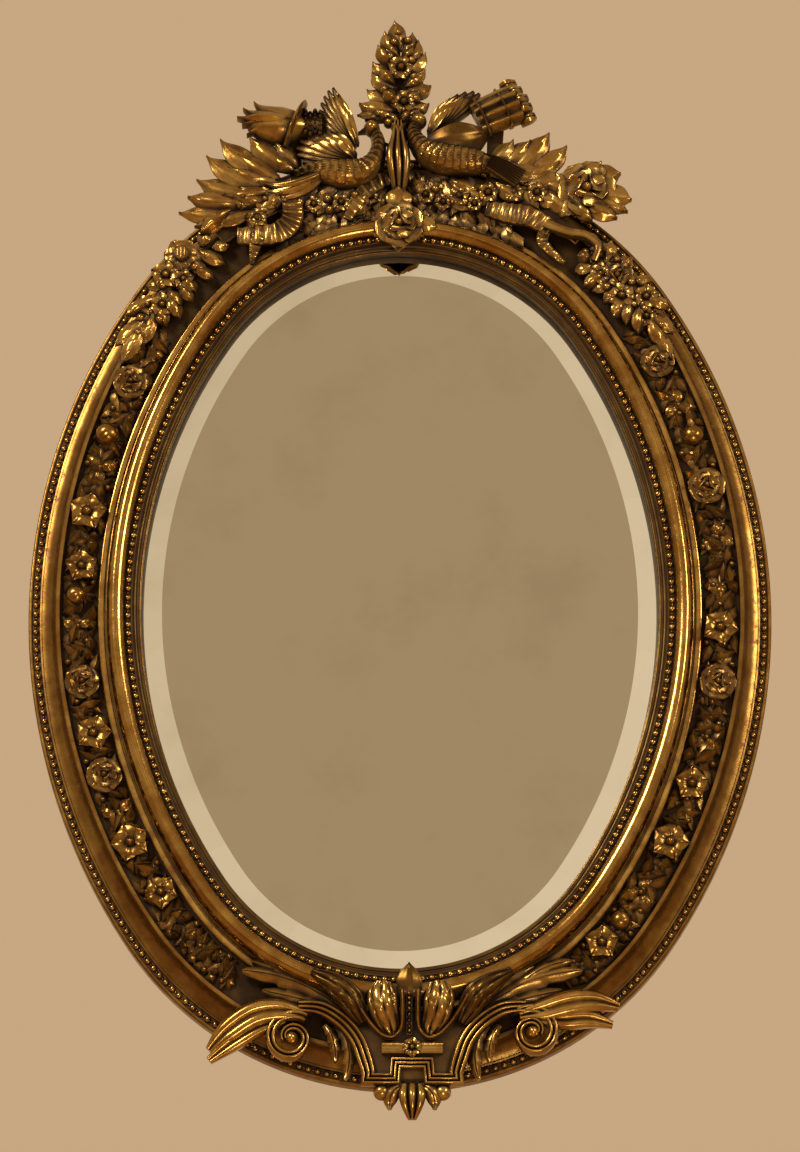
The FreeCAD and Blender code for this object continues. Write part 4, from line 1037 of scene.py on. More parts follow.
class MIRROR_OT_trophies(bpy.types.Operator):
    """Carves the quiver, the torch with its hoop, and the stem between the doves"""

    bl_idname = "mirror.trophies"
    bl_label = "Quiver and torch"

    def execute(self, context):
        finish = FINISHES["carving"]
        quiver = Form()
        flutes = []
        for k in range(41):
            across = -1 + k / 20
            crown = math.sqrt(max(1 - across * across * 0.9, 0))
            flutes.append((across, crown * (1 - 0.2 * abs(math.cos(2 * math.pi * across)) ** 3)))
        carve(quiver, crest_rows([(78, 26, 38, 26), (92, 33, 42, 28), (108, 40, 44, 29), (120, 45, 45, 29)]),
              flutes, steps=16)
        for k in range(5):
            share = -1 + k / 2
            middle = crest_at(114 - share * 10, 43 + share * 18)
            tip = (middle[0] + 17 - 2 * abs(share), middle[1] + 7)
            height = 27 * math.sqrt(1 - (share * 0.8) ** 2)
            blade(quiver, middle, tip, 11, height, CREST, SHAFT, edge=0.8, rim=1.2, groove=1.6, steps=10)
        for x, z in ((84, 29), (106, 39)):
            hoop = crest_rows([(x - 9, z + 19, 4.5, 17), (x, z, 4.5, 31), (x + 9, z - 19, 4.5, 17)])
            carve(quiver, hoop, ROUNDED, steps=14)
        stand_for(quiver, "quiver", finish)

        torch = Form()
        carve(torch, crest_rows([
            (-98, 20, 22, 17), (-110, 21, 36, 22), (-126, 22, 42, 24), (-142, 24, 34, 20), (-154, 27, 18, 12),
        ]), ROUNDED, steps=18)
        for root, tip, width, rise, bend in (
            ((-104, 14), (-157, 10), 20, 22, -0.16), ((-104, 28), (-150, 46), 20, 22, 0.14),
            ((-104, 18), (-162, 20), 18, 25, -0.1), ((-104, 26), (-161, 38), 18, 25, 0.1),
            ((-104, 22), (-167, 28), 18, 27, 0),
        ):
            blade(torch, crest_at(*root), crest_at(*tip), width, rise, CREST, POINTED, bend, edge=0.55,
                  rim=1.2, ridge=2, steps=18)
        carve(torch, crest_rows([(x, 21, 28, 15) for x in (-104, -92, -80)]), ROUNDED, steps=6)
        for k in range(24):
            grain = crest_at(-82 - 5 * (k % 4), 33 - 4.6 * (k // 4) + 2 * (k % 2))
            dome(torch, grain, 2.9, 18 + 1.5 * math.sin(k * 2.3), CREST, 8, 3)
        stand_for(torch, "torch", finish)

        hoop = Form()
        carve(hoop, crest_rows([
            (-97, 47, 5, 14), (-101, 38, 7, 27), (-107, 24, 8, 32.5), (-113, 10, 7, 27), (-118, -3, 5, 14),
        ]), ROUNDED, steps=24)
        stand_for(hoop, "torch_hoop", finish)

        middle = Form()
        carve(middle, crest_rows([
            (-2, 26, 9, 12), (-2, 6, 15, 18), (-2, -12, 24, 24), (-1, -32, 22, 22), (-1, -58, 9, 12),
        ]), ribbed(3, 0.22), steps=26)
        for side in (-1, 1):
            for z in (-50, -24, 0):
                blade(middle, crest_at(-1, z), crest_at(side * 14 - 1, z + 26), 11, 16, CREST, POINTED,
                      side * 0.2, edge=0.5, rim=0.8, ridge=1.4)
        stand_for(middle, "centre_stem", finish)
        return {"FINISHED"}


def leaf_rows(form, rows, rise):
    """Bay leaves of the crest from rows of (root x, root z, tip x, tip z, width, bend)."""
    for a, b, c, d, width, bend in rows:
        bay_leaf(form, crest_at(a, b), crest_at(c, d), width, rise, CREST, bend)


class MIRROR_OT_foliage(bpy.types.Operator):
    """Carves the finial, the leaf sprays and the roses of the crest"""

    bl_idname = "mirror.foliage"
    bl_label = "Crest foliage"

    def execute(self, context):
        finish = FINISHES["carving"]
        finial = Form()
        leaf_rows(finial, [
            (0, 104, -6, 136.5, 17, 0), (-2, 96, -16, 125, 14, 0.1), (2, 96, 13, 124, 14, -0.1),
            (-3, 88, -23, 110, 15, 0.1), (3, 84, 19, 116, 15, -0.1), (4, 78, 26, 102, 15, -0.1),
            (-4, 74, -28, 92, 16, 0.1), (-4, 62, -29, 80, 17, 0.1), (4, 58, 32, 66, 17, -0.1),
            (-4, 50, -34, 62, 17, 0.1), (4, 70, 26, 84, 14, -0.1), (-4, 38, -42, 46, 18, 0.1),
            (4, 40, 30, 46, 16, -0.1), (-4, 30, -36, 28, 15, -0.1), (4, 26, 24, 30, 14, 0.1),
            (-8, 44, -44, 34, 15, 0.05),
        ], 10)
        leaf_rows(finial, [
            (0, 96, -10, 114, 13, 0.1), (2, 94, 14, 108, 13, -0.1), (-6, 66, -20, 84, 14, 0.1),
            (6, 64, 22, 78, 14, -0.1), (-2, 48, -18, 60, 15, 0.1), (4, 50, 20, 58, 15, -0.1),
            (-6, 30, -26, 40, 15, 0.1), (6, 30, 20, 38, 15, -0.1), (0, 22, -10, 36, 14, 0),
            (2, 24, 10, 38, 14, 0),
        ], 15)
        for x, z, radius in ((1, 84, 15), (4, 46, 14)):
            star_flower(finial, crest_at(x, z), radius, 19, CREST, 5, 70 + z)
        for x, z, radius in (
            (-6, 112, 5), (8, 114, 4.5), (12, 92, 5), (-10, 96, 5), (14, 74, 4.5), (-16, 60, 5),
            (16, 50, 5), (-22, 34, 5), (-2, 122, 4.5), (12, 28, 5), (-12, 24, 5),
        ):
            dome(finial, crest_at(x, z), radius, 15, CREST, 12, 5)
        stand_for(finial, "finial_spray", finish)

        left = Form()
        leaf_rows(left, [
            (-112, -28, -154, 9, 22, 0.05), (-124, -34, -184, 7, 24, 0.08),
            (-134, -44, -198, -11, 24, 0.08), (-146, -52, -208, -37, 22, 0.08),
            (-156, -62, -217, -56, 21, 0.06), (-166, -72, -226, -73, 19, 0.05),
            (-166, -80, -210, -88, 16, -0.05), (-118, -44, -152, -34, 20, 0),
            (-134, -62, -172, -60, 18, 0), (-104, -22, -128, 4, 18, 0),
            (-120, -40, -166, -10, 20, 0.05), (-140, -56, -186, -40, 18, 0.05),
        ], 12)
        leaf_rows(left, [
            (-150, -70, -192, -82, 18, 0.05), (-124, -44, -150, -76, 18, 0.1),
            (-140, -70, -156, -92, 16, 0), (-172, -70, -204, -96, 16, 0), (-108, -28, -132, -14, 16, 0),
            (-130, -36, -176, -24, 18, 0.06), (-130, -50, -182, -56, 18, 0.05),
            (-118, -50, -138, -70, 15, 0),
        ], 13)
        for x, z, radius in ((-138, -60, 15), (-122, -54, 11), (-160, -58, 13), (-146, -80, 12)):
            star_flower(left, crest_at(x, z), radius, 16, CREST, 5, 40)
        stand_for(left, "left_leaf_spray", finish)

        right = Form()
        leaf_rows(right, [
            (90, -22, 116, 6, 19, -0.05), (112, -30, 153, 14, 23, -0.06), (128, -34, 171, 0, 20, -0.08),
            (92, -30, 150, -26, 24, 0), (52, -38, 80, -50, 16, 0), (52, -34, 66, -62, 15, 0),
            (96, -40, 126, -60, 20, 0), (126, -38, 164, -18, 20, 0), (104, -26, 134, 6, 18, 0),
            (130, -44, 168, -36, 20, 0), (134, -50, 162, -64, 18, 0), (118, -44, 142, -70, 18, 0),
            (150, -50, 172, -74, 17, 0), (146, -40, 178, -50, 18, 0),
        ], 11)
        for x, z, radius in ((90, -52, 12), (60, -56, 12), (116, -52, 12), (140, -52, 12), (76, -64, 9)):
            star_flower(right, crest_at(x, z), radius, 15, CREST, 5, 20)
        stand_for(right, "right_leaf_spray", finish)

        roses = Form()
        leaf_rows(roses, [
            (200, -50, 237, -59, 24, 0), (190, -38, 226, -30, 24, 0), (184, -60, 222, -79, 22, 0),
            (176, -52, 164, -78, 20, 0), (192, -52, 233, -72, 18, 0), (186, -36, 206, -18, 20, 0),
            (180, -60, 196, -82, 18, 0), (172, -44, 160, -30, 17, 0),
        ], 12)
        rose(roses, crest_at(191, -48), 30, 21, CREST, 6, 20)
        stand_for(roses, "right_rose_cluster", finish)

        rosette = Form()
        bay_leaf(rosette, crest_at(-1, -76), crest_at(-1, -50), 25, 10, ROUND_TOP)
        for angle in (150, 205, 270, 335, 30):
            bay_leaf(rosette, crest_at(-1, -91), round_point(crest_at(-1, -91), 28, angle), 20, 7, ROUND_TOP)
        rose(rosette, crest_at(-1, -91), 25, 17, ROUND_TOP, 6, 30)
        bay_leaf(rosette, crest_at(14, -86), crest_at(38, -94), 15, 8, ROUND_TOP)
        stand_for(rosette, "centre_rosette", finish)

        garland = Form()
        leaf_rows(garland, [
            (-14, -36, -32, -60, 17, 0), (-32, -36, -46, -76, 17, 0.1), (-52, -38, -74, -72, 18, 0.1),
            (-70, -42, -98, -70, 18, 0.1), (12, -36, 30, -60, 17, 0), (30, -36, 50, -66, 18, -0.1),
            (46, -38, 74, -70, 18, -0.1), (66, -40, 96, -62, 17, -0.1), (-44, -40, -62, -60, 15, 0),
            (-84, -44, -106, -60, 16, 0), (-20, -44, -22, -74, 15, 0), (18, -44, 20, -74, 15, 0),
            (38, -42, 62, -54, 15, 0), (-62, -42, -88, -56, 15, 0), (-78, -48, -84, -76, 15, 0),
            (58, -46, 52, -76, 14, 0), (-96, -48, -112, -78, 15, 0),
        ], 8)
        for x, z, radius in ((-60, -62, 11), (-88, -64, 10), (-30, -56, 10), (26, -54, 11), (44, -62, 10)):
            star_flower(garland, crest_at(x, z), radius, 13, CREST, 5, x)
        for x, z, radius in (
            (-74, -58, 5), (-46, -54, 5), (36, -48, 5), (56, -52, 5), (-102, -62, 5), (-16, -62, 5),
            (14, -60, 5), (66, -62, 5), (-72, -70, 4.5),
        ):
            dome(garland, crest_at(x, z), radius, 12, CREST, 12, 5)
        # undergrowth that closes the ground between the leaves
        for row in range(6):
            for k in range(27):
                x = -112 + k * 8.6 + 4 * math.sin(row * 2.1)
                root = crest_at(x, -26 - 9 * row - 0.0021 * x * x + 3 * math.sin(k * 1.9))
                tip = round_point(root, 19, 270 + x * 0.3 + 55 * math.sin(k * 2.7 + row * 1.3))
                small_leaf(garland, root, tip, 12, 6 - row * 0.4, CREST - 2)
        stand_for(garland, "crest_garland", finish)
        return {"FINISHED"}


def pleated(count, depth):
    """Even pleats across a ribbon."""
    return lambda u, across: depth * math.cos(2 * math.pi * u * count + across * 0.6)


class MIRROR_OT_ribbons(bpy.types.Operator):
    """Carves the pleated ribbons"""

    bl_idname = "mirror.ribbons"
    bl_label = "Ribbons"

    def execute(self, context):
        finish = FINISHES["carving"]
        # rows of (x, z, width, rise), with the number of pleats
        runs = {
            "left_ribbon": [
                ([(-120, -36, 16, 10), (-111, -60, 20, 11), (-110, -80, 22, 11), (-121, -94, 22, 10),
                  (-142, -98, 21, 9), (-166, -98, 17, 7)], 12),
                ([(-142, -92, 16, 8), (-148, -110, 12, 7), (-151, -128, 4, 4)], 4),
            ],
            "centre_ribbon": [
                ([(-12, -36, 15, 9), (-28, -44, 18, 10), (-42, -58, 17, 9), (-54, -80, 9, 6)], 6),
            ],
            "right_ribbon": [
                ([(88, -69, 15, 8), (110, -74, 21, 10), (132, -78, 21, 10), (154, -91, 18, 9)], 8),
                ([(148, -86, 10, 11), (170, -95, 9, 12), (190, -99, 8, 12), (202, -110, 8, 11),
                  (198, -125, 7, 9)], 0),
                ([(149, -90, 13, 8), (146, -106, 11, 7), (167, -127, 5, 5)], 5),
            ],
        }
        for node, bands in runs.items():
            form = Form()
            for rows, pleats in bands:
                relief = pleated(pleats, 1.5) if pleats else None
                carve(form, crest_rows(rows), FLAT_BAND, steps=max(8 * pleats, 24), relief=relief)
            stand_for(form, node, finish)
        return {"FINISHED"}


# ---------------------------------------------------------------- shoulders and frieze

# a shoulder's flowers are carved to one radius, whatever the oval's
CLUSTER_RADIUS = 294


def cluster_spots(middle):
    """Places in a shoulder cluster, which is carved to one radius about its middle bearing."""
    anchor = fillet_at(middle, 0)
    centre = round_point(anchor, -CLUSTER_RADIUS, middle)
    return lambda bearing, offset: round_point(centre, CLUSTER_RADIUS - offset, bearing)


def shoulder_cluster(node, middle, stems, leaves, flowers, berries):
    """A stem with leaves, flowers as (make, bearing, offset, radius, rise, turn), and berries."""
    spot = cluster_spots(middle)
    form = Form()
    carve(form, [(*spot(b, i), w, 5, FILLET) for b, i, w in stems], ROUNDED, steps=16)
    for a, b, c, d, width in leaves:
        bay_leaf(form, spot(a, b), spot(c, d), width, 10, FILLET)
    for make, bearing, offset, radius, rise, turn in flowers:
        make(form, spot(bearing, offset), radius, rise, FILLET, 6 if make is button_flower else 5, turn)
    for bearing, offset, radius in berries:
        dome(form, spot(bearing, offset), radius, 11, FILLET, 12, 5)
    stand_for(form, node, FINISHES["carving"])


class MIRROR_OT_shoulders(bpy.types.Operator):
    """Carves the hanging flowers at both shoulders"""

    bl_idname = "mirror.shoulders"
    bl_label = "Shoulder clusters"

    def execute(self, context):
        shoulder_cluster(
            "left_shoulder_cluster", 142, [(134, 3, 12), (140, -1, 14), (146, 0, 13), (155, -1, 6)],
            [
                (136, 1, 137, 21, 14), (134, -2, 132, 27, 15), (143, -3, 146, -19, 14),
                (144, 3, 145.5, 23, 15), (151, -1, 159, -16, 16), (152, 1, 162, -3, 17),
                (133, -4, 130, -12, 14), (139, -8, 137, -22, 13), (148, 4, 151, 22, 14),
                (140, 6, 141, 26, 14), (131.5, 4, 128.5, 14, 13), (149, 3, 157, 10, 15),
                (147, -4, 153, -20, 14), (152, 2, 157, 3, 14), (145, 8, 148, 30, 13),
                (137, 8, 136, 30, 13), (142, 8, 143, 30, 12),
            ],
            [
                (button_flower, 137, -11, 18, 16, 60), (star_flower, 142, -9, 16, 14, 90),
                (star_flower, 147.5, 7, 14, 13, 30), (star_flower, 140.5, 8, 12, 13, 20),
                (star_flower, 149, -6, 12, 12, 70),
            ],
            [
                (150.5, 13, 5), (152, -5, 5), (144.2, -4, 4.5), (137, 8, 5), (155, 0, 4.5), (133.5, 8, 5),
                (145, 14, 5),
            ],
        )
        shoulder_cluster(
            "right_shoulder_cluster", 38, [(44, 7, 12), (39, 3, 14), (34, 1, 13), (26, 0, 6)],
            [
                (30, 1, 24, -11, 16), (29, 3, 22, 4, 17), (35, 15, 33, 35, 15), (42, 11, 43, 39, 14),
                (40, 13, 41, 35, 14), (44, 3, 46, -17, 16), (37, -4, 35, -20, 14), (41, -2, 41, -20, 14),
                (32, 6, 27, 22, 15), (46, 8, 49, 20, 14), (45, 12, 47, 34, 13), (38, 12, 37, 34, 13),
                (33, -5, 29, -20, 14), (47, 0, 51, -8, 14), (34, 10, 30, 28, 14), (27, 2, 19, 2, 13),
            ],
            [
                (rose, 40, 5, 17, 15, 90), (star_flower, 33, -5, 14, 14, 90),
                (star_flower, 36, 15, 16, 14, 50),
                (star_flower, 45.5, 3, 14, 13, 10), (star_flower, 29.5, 6, 12, 13, 30),
                (star_flower, 42.5, 17, 13, 13, 70),
            ],
            [
                (31, 3, 5), (37.2, -2, 5), (42.5, -6, 4.5), (33, 10, 4.5), (26.5, -3, 4.5), (39.5, 21, 5),
                (48, 10, 5),
            ],
        )
        return {"FINISHED"}


# ornaments of the frieze, as (bearing, offset from its middle, radius or reach)
FRIEZE_ROSES = [
    (155.5, -2, 16.5), (-162, 0, 16.5), (12.8, -1, 17.5), (27, -1, 16), (-172, -1, 16), (-8, -1, 17),
]
FRIEZE_STARS = [
    (170, -1, 17), (175.8, 1, 14.5), (-166.5, 1, 16), (-154.5, -1, 17), (-148.5, 2, 15),
    (-2.3, 1, 16), (-19, 1, 15), (-25.4, -1, 17), (-42.5, 2, 15),
]
FRIEZE_FRUITS = [(161.5, -3, 12), (178.8, -3, 10), (18.4, -3, 11), (-36.2, 2, 10)]
FRIEZE_SPRIGS = [
    (165, 0, 17), (-178, -1, 15), (-158, 1, 16.5), (22, -1, 17), (7.4, -1, 17.5), (-13.8, 0, 17),
    (-31.3, 1, 17),
]

# how far the roses, the stars and the fruits stand above the ground, among the leaves
ROSE_LIFT = 5
STAR_LIFT = 6
FRUIT_LIFT = 4

# the bearings that the small leaves run between, and the step from one to the next
LEAF_RUNS = [(150, 232), (-52, 31)]
LEAF_STEP = 0.26

# bud sprays, as (bearing of the foot, offset, bearing of the tip)
FRIEZE_BUDS = [(-142.8, 4, -138.5), (4.4, 0, 0.6)]


class MIRROR_OT_frieze(bpy.types.Operator):
    """Presses the flowers, fruit and leaves of the frieze"""

    bl_idname = "mirror.frieze"
    bl_label = "Frieze ornaments"

    def execute(self, context):
        finish = FINISHES["frieze"]
        slot = "gilt_composition"
        roses = Form()
        for bearing, offset, radius in FRIEZE_ROSES:
            rose(roses, frieze_at(bearing, offset), radius * 1.08, 14, GROUND + ROSE_LIFT, 5, bearing)
        stand_for(roses, "frieze_roses", finish, slot)

        stars = Form()
        for bearing, offset, radius in FRIEZE_STARS:
            spot = frieze_at(bearing, offset)
            star_flower(stars, spot, radius * 1.16, 13, GROUND + STAR_LIFT, 5, bearing * 3)
        stand_for(stars, "frieze_star_flowers", finish, slot)

        fruits = Form()
        for bearing, offset, radius in FRIEZE_FRUITS:
            fruit(fruits, frieze_at(bearing, offset), radius, GROUND + FRUIT_LIFT, bearing + 60)
        stand_for(fruits, "frieze_fruits", finish, slot)

        sprigs = Form()
        for bearing, offset, reach in FRIEZE_SPRIGS:
            middle = frieze_at(bearing, offset)
            for k in range(3):
                tip = round_point(middle, reach * 1.1, bearing + 90 + 120 * k)
                bay_leaf(sprigs, middle, tip, reach * 0.85, 9, GROUND)
            dome(sprigs, middle, 3.4, 10, GROUND, 10, 4)
        for start, stop in LEAF_RUNS:
            for k in range(int((stop - start) / LEAF_STEP)):
                bearing = start + k * LEAF_STEP
                root = frieze_at(bearing, 10 * math.sin(k * 4.1))
                tip = frieze_at(bearing + 2.4 * math.cos(k * 1.3), 17 * math.sin(k * 1.9))
                small_leaf(sprigs, root, tip, 12, 8 + 2.5 * math.sin(k * 2.3), GROUND)
                if k % 8 == 0:
                    spot = frieze_at(bearing + 0.3, 14 * math.sin(k * 1.1))
                    dome(sprigs, spot, 3.6, 9.5, GROUND, 8, 3)
        stand_for(sprigs, "frieze_leaf_sprigs", finish, slot)

        buds = Form()
        for bearing, offset, tip in FRIEZE_BUDS:
            turns = [bearing + (tip - bearing) * share for share in (0, 0.45, 0.7, 1)]
            places = [frieze_at(turn, offset) for turn in turns]
            widths = (5, 6, 13, 3)
            rises = (4, 5, 10, 4)
            rows = [(*p, w, r, GROUND) for p, w, r in zip(places, widths, rises)]
            carve(buds, rows, ROUNDED, steps=18)
            for side in (-1, 1):
                bay_leaf(buds, places[1], frieze_at(turns[2], offset + side * 7), 7, 7, GROUND)
        stand_for(buds, "frieze_bud_sprays", finish, slot)
        return {"FINISHED"}


# ---------------------------------------------------------------- cartouche


def ribbed(ribs, depth, steps=8):
    """A section of rounded ribs side by side."""
    section = []
    for k in range(ribs * steps + 1):
        share = k / (ribs * steps)
        section.append((2 * share - 1, 1 - depth * (0.5 + 0.5 * math.cos(2 * math.pi * ribs * share)) ** 3))
    return section


# the left strap from its scroll to the foot, and the key between the straps, as (x, z, width)
STRAP_LEFT = [
    (-112, 75, 12), (-90, 73, 15), (-70, 61, 16), (-55, 43, 16), (-47, 22, 16), (-43, 8, 14),
]
KEY = [(-44, 2, 12), (-17, 2, 12), (-16, 18, 12), (16, 18, 12), (17, 2, 12), (44, 2, 12)]
STRAP_RISE = 15


def foot_rows(rows, seat=FILLET):
    """Rows of (x, z, width, rise) in the cartouche, ready to carve."""
    return [(*foot_at(x, z), width, rise, seat) for x, z, width, rise in rows]


def over_round(x, z):
    """The seat of a form that climbs from the block onto the round."""
    inset = OVAL.end - math.hypot(x, z + OVAL.end_centre)
    low = STEP_IN - 16
    return BLOCK_TOP + (ROUND_TOP - BLOCK_TOP) * min(max((inset - low) / (STEP_IN - low), 0), 1)


def climbing_rows(rows, side=1, shift=0):
    """Rows of (x, z, width, rise) that climb from the block onto the round."""
    climbing = []
    for x, z, width, rise in rows:
        place = foot_at(side * x + shift, z)
        climbing.append((*place, width, rise, over_round(*place)))
    return climbing


class MIRROR_OT_strapwork(bpy.types.Operator):
    """Carves the block, the moulded strap and its two scrolls"""

    bl_idname = "mirror.strapwork"
    bl_label = "Strapwork"

    def execute(self, context):
        block = Form()
        outline = [
            (-43, 0), (43, 0), (45, 22), (54, 46), (70, 66), (0, 72), (-70, 66), (-54, 46), (-45, 22),
        ]
        rings = []
        for inset, rise in ((0, FILLET), (0, BLOCK_TOP - 2), (2.5, BLOCK_TOP)):
            ring = []
            for x, z in outline:
                px, pz = foot_at(x - math.copysign(inset, x) * (abs(x) > 1), z - math.copysign(inset, z - 30))
                ring.append((px, rise, pz))
            rings.append(ring)
        block.loft(rings)
        stand_for(block, "cartouche_block", FINISHES["shade"])

        lines = Form()
        for side in (-1, 1):
            turns = ((57, 83), (45, 65), (31, 48), (18, 43), (9, 52), (7.5, 68), (8, 88))
            carve(lines, climbing_rows([(x, z, 5, 10) for x, z in turns], side, -2), ROUNDED, steps=44)
        lines.to_object("cartouche_lines", FINISHES["strap"], "gilt_carving")

        strap = Form()
        half = [tuple(spot) for spot in eased(STRAP_LEFT, 30)]
        line = half + KEY + [(-x, z, width) for x, z, width in reversed(half)]
        rows = foot_rows([(x, z, width, STRAP_RISE) for x, z, width in line])
        carve(strap, rows, ribbed(3, 0.3), smooth=False)
        stand_for(strap, "strapwork", FINISHES["strap"], sharp=50)

        for label, side in (("left", -1), ("right", 1)):
            scroll = Form()
            eye = (119, 46 + side * 3)
            rows = []
            count = 46
            for step in range(count):
                share = step / (count - 1)
                angle = math.radians(125 - 500 * share)
                radius = 25 - 18 * share
                x = side * (eye[0] + radius * math.cos(angle))
                z = eye[1] + radius * math.sin(angle)
                rows.append((x, z, 11 - 4 * share, STRAP_RISE + 3 * share))
            carve(scroll, foot_rows(rows), ribbed(2, 0.3), smooth=False)
            dome(scroll, foot_at(side * eye[0], eye[1]), 7.5, STRAP_RISE + 5, FILLET, 20, 8)
            stand_for(scroll, label + "_scroll", FINISHES["strap"], sharp=50)
        return {"FINISHED"}


def acanthus(form, root, tip, width, rise, bend, lobes):
    """A notched leaf of the cartouche, from places (x, z) in it."""
    blade(form, foot_at(*root), foot_at(*tip), width, rise, FILLET, ACANTHUS, bend, lift=rise * 0.3,
          edge=0.4, rim=1.0, groove=1.8, lobes=lobes, steps=9 * lobes + 1, fall=1.5)


def lobed(side):
    """The lobes and veins of a leaf that turns over to a side."""

    def relief(u, across):
        rib = abs(math.sin(1.5 * math.pi * (across - 0.3 * side * (u - 0.5))))
        return -3 * (1 - rib) ** 2 - 1.3 * abs(math.sin(math.pi * (u * 3 + 0.7 * across))) ** 8

    return relief


# each tip leaf has a large and a small lobe, with rows of (x, z, width, rise)
TIP_LEAVES = {
    "left": [
        [(-106, 66, 12, 13), (-130, 71, 22, 16), (-156, 67, 25, 17), (-182, 50, 22, 14), (-200, 32, 9, 8)],
        [(-126, 62, 10, 12), (-152, 54, 17, 14), (-176, 40, 18, 12), (-200, 22, 8, 7)],
    ],
    "right": [
        [(106, 66, 12, 13), (130, 71, 22, 16), (154, 78, 25, 17), (180, 81, 21, 14), (204, 76, 8, 8)],
        [(126, 62, 10, 12), (150, 61, 17, 14), (174, 63, 17, 12), (198, 58, 7, 7)],
    ],
}


class MIRROR_OT_acanthus(bpy.types.Operator):
    """Carves the leaves, the drop and the small ornaments of the cartouche"""

    bl_idname = "mirror.acanthus"
    bl_label = "Cartouche leaves"

    def execute(self, context):
        finish = FINISHES["carving"]
        for label, side in (("left", -1), ("right", 1)):
            tip = Form()
            for lobe in TIP_LEAVES[label]:
                carve(tip, foot_rows(lobe), ribbed(2, 0.24), steps=30)
            stand_for(tip, label + "_tip_leaf", FINISHES["strap"])

            upper = Form()
            for (x, z), (end_x, end_z), width, bend in (
                ((58, 70), (120, 116), 26, 0.1), ((70, 74), (168, 112), 24, 0.08),
                ((84, 76), (148, 92), 20, 0), ((100, 90), (158, 122), 18, 0.1),
            ):
                acanthus(upper, (side * x, z), (side * end_x, end_z), width, 12, side * bend, 3)
            stand_for(upper, label + "_upper_acanthus", finish)

            lower = Form()
            for (x, z), (end_x, end_z), width, bend in (
                ((74, 58), (66, 3), 16, 0.14), ((86, 58), (76, 20), 13, 0.1),
            ):
                acanthus(lower, (side * x, z), (side * end_x, end_z), width, 10, -side * bend, 4)
            stand_for(lower, label + "_side_acanthus", finish)

            inner = Form()
            rows = [(19, 45, 12, 7), (21, 54, 23, 13), (26, 69, 29, 16), (28, 83, 30, 14), (27, 97, 17, 9)]
            carve(inner, climbing_rows(rows, side, -1.5), FINE_ROUND, steps=44, relief=lobed(side))
            stand_for(inner, label + "_inner_acanthus", finish)

            climbing = Form()
            rows = [(48, 58, 12, 7), (55, 71, 22, 11), (64, 84, 26, 13), (78, 96, 22, 11), (99, 108, 8, 6)]
            carve(climbing, climbing_rows(rows, side), FINE_ROUND, steps=44, relief=lobed(side))
            stand_for(climbing, label + "_round_acanthus", FINISHES["shade"])

        string = Form()
        for step in range(9):
            place = foot_at(-3, 50 + step * 5)
            dome(string, place, 2.4, 6, over_round(*place), 12, 5)
        rail = climbing_rows([(0, z, 6.4, 1.4) for z in (46, 60, 76, 92)], shift=-3)
        carve(string, rail, FLAT_BAND, steps=14)
        stand_for(string, "pearl_string", finish)

        palmette = Form()
        for angle, reach, width in ((150, 15, 12), (30, 15, 12), (90, 33, 26)):
            root = foot_at(-3, 84)
            end = round_point(root, reach, angle)
            blade(palmette, root, end, width, 8, ROUND_TOP, POINTED, edge=0.3, rim=0.8, groove=1,
                  steps=17, fall=1.2)
        stand_for(palmette, "palmette_leaf", FINISHES["shade"])

        plaque = Form()
        for side in (-1, 1):
            bar = foot_rows([(side * x, 32, 11, 7) for x in (8, 19, 30)], BLOCK_TOP)
            carve(plaque, bar, FLAT_BAND, steps=10)
        star_flower(plaque, foot_at(0, 33), 11, 12, BLOCK_TOP, 6, 90)
        stand_for(plaque, "blossom_plaque", finish)

        drop = Form()
        rows = [(0, -3, 24, 12), (0, -14, 27, 17), (0, -26, 21, 15), (0, -37, 9, 8)]
        carve(drop, foot_rows(rows), ribbed(3, 0.3), steps=24)
        for side in (-1, 1):
            blade(drop, foot_at(side * 7, -3), foot_at(side * 22, -27), 15, 14, FILLET, ACANTHUS,
                  side * 0.2, edge=0.5, rim=1.2, groove=1.6, steps=17)
        stand_for(drop, "drop_acanthus", finish)

        berries = Form()
        for side in (-1, 1):
            dome(berries, foot_at(side * 30, -10), 8.5, 13, FILLET, 18, 7)
        stand_for(berries, "drop_berries", finish)
        return {"FINISHED"}


# ---------------------------------------------------------------- stage

FLOOR_REACH = 12
FLOOR_LEVEL = -2.7
WARM = (1.0, 0.86, 0.66)

# name, place, size and power of the lamps
LAMPS = [
    ("key", (-2.2, -2.6, 1.9), 1.2, 140),
    ("fill", (2.6, -2.2, 0.9), 1.0, 55),
    ("low", (0.6, -2.8, -2.2), 0.8, 26),
]

# a ring of faint panels before the mirror, which only the plate's bevel shows
PANELS = 16
PANEL_SIZE = 0.5
RING_BEFORE = -3.0
RING_MIDDLE = 0.928
RING_HALF_WIDTH = 0.767
RING_HALF_HEIGHT = 0.98

# height of the view at the mirror, and the height that its middle looks at, in millimetres
VIEW_HEIGHT = 1168
VIEW_CENTRE = 47


def soft_light(name, place, target, size, power):
    """A round lamp that faces a target."""
    light = bpy.data.lights.new(name, "AREA")
    light.shape = "ELLIPSE"
    light.size = size
    light.size_y = size
    light.energy = power
    light.color = WARM
    lamp = bpy.data.objects.new(name, light)
    lamp.location = place
    lamp.rotation_euler = (Vector(target) - Vector(place)).to_track_quat("-Z", "Y").to_euler()
    bpy.context.scene.collection.objects.link(lamp)


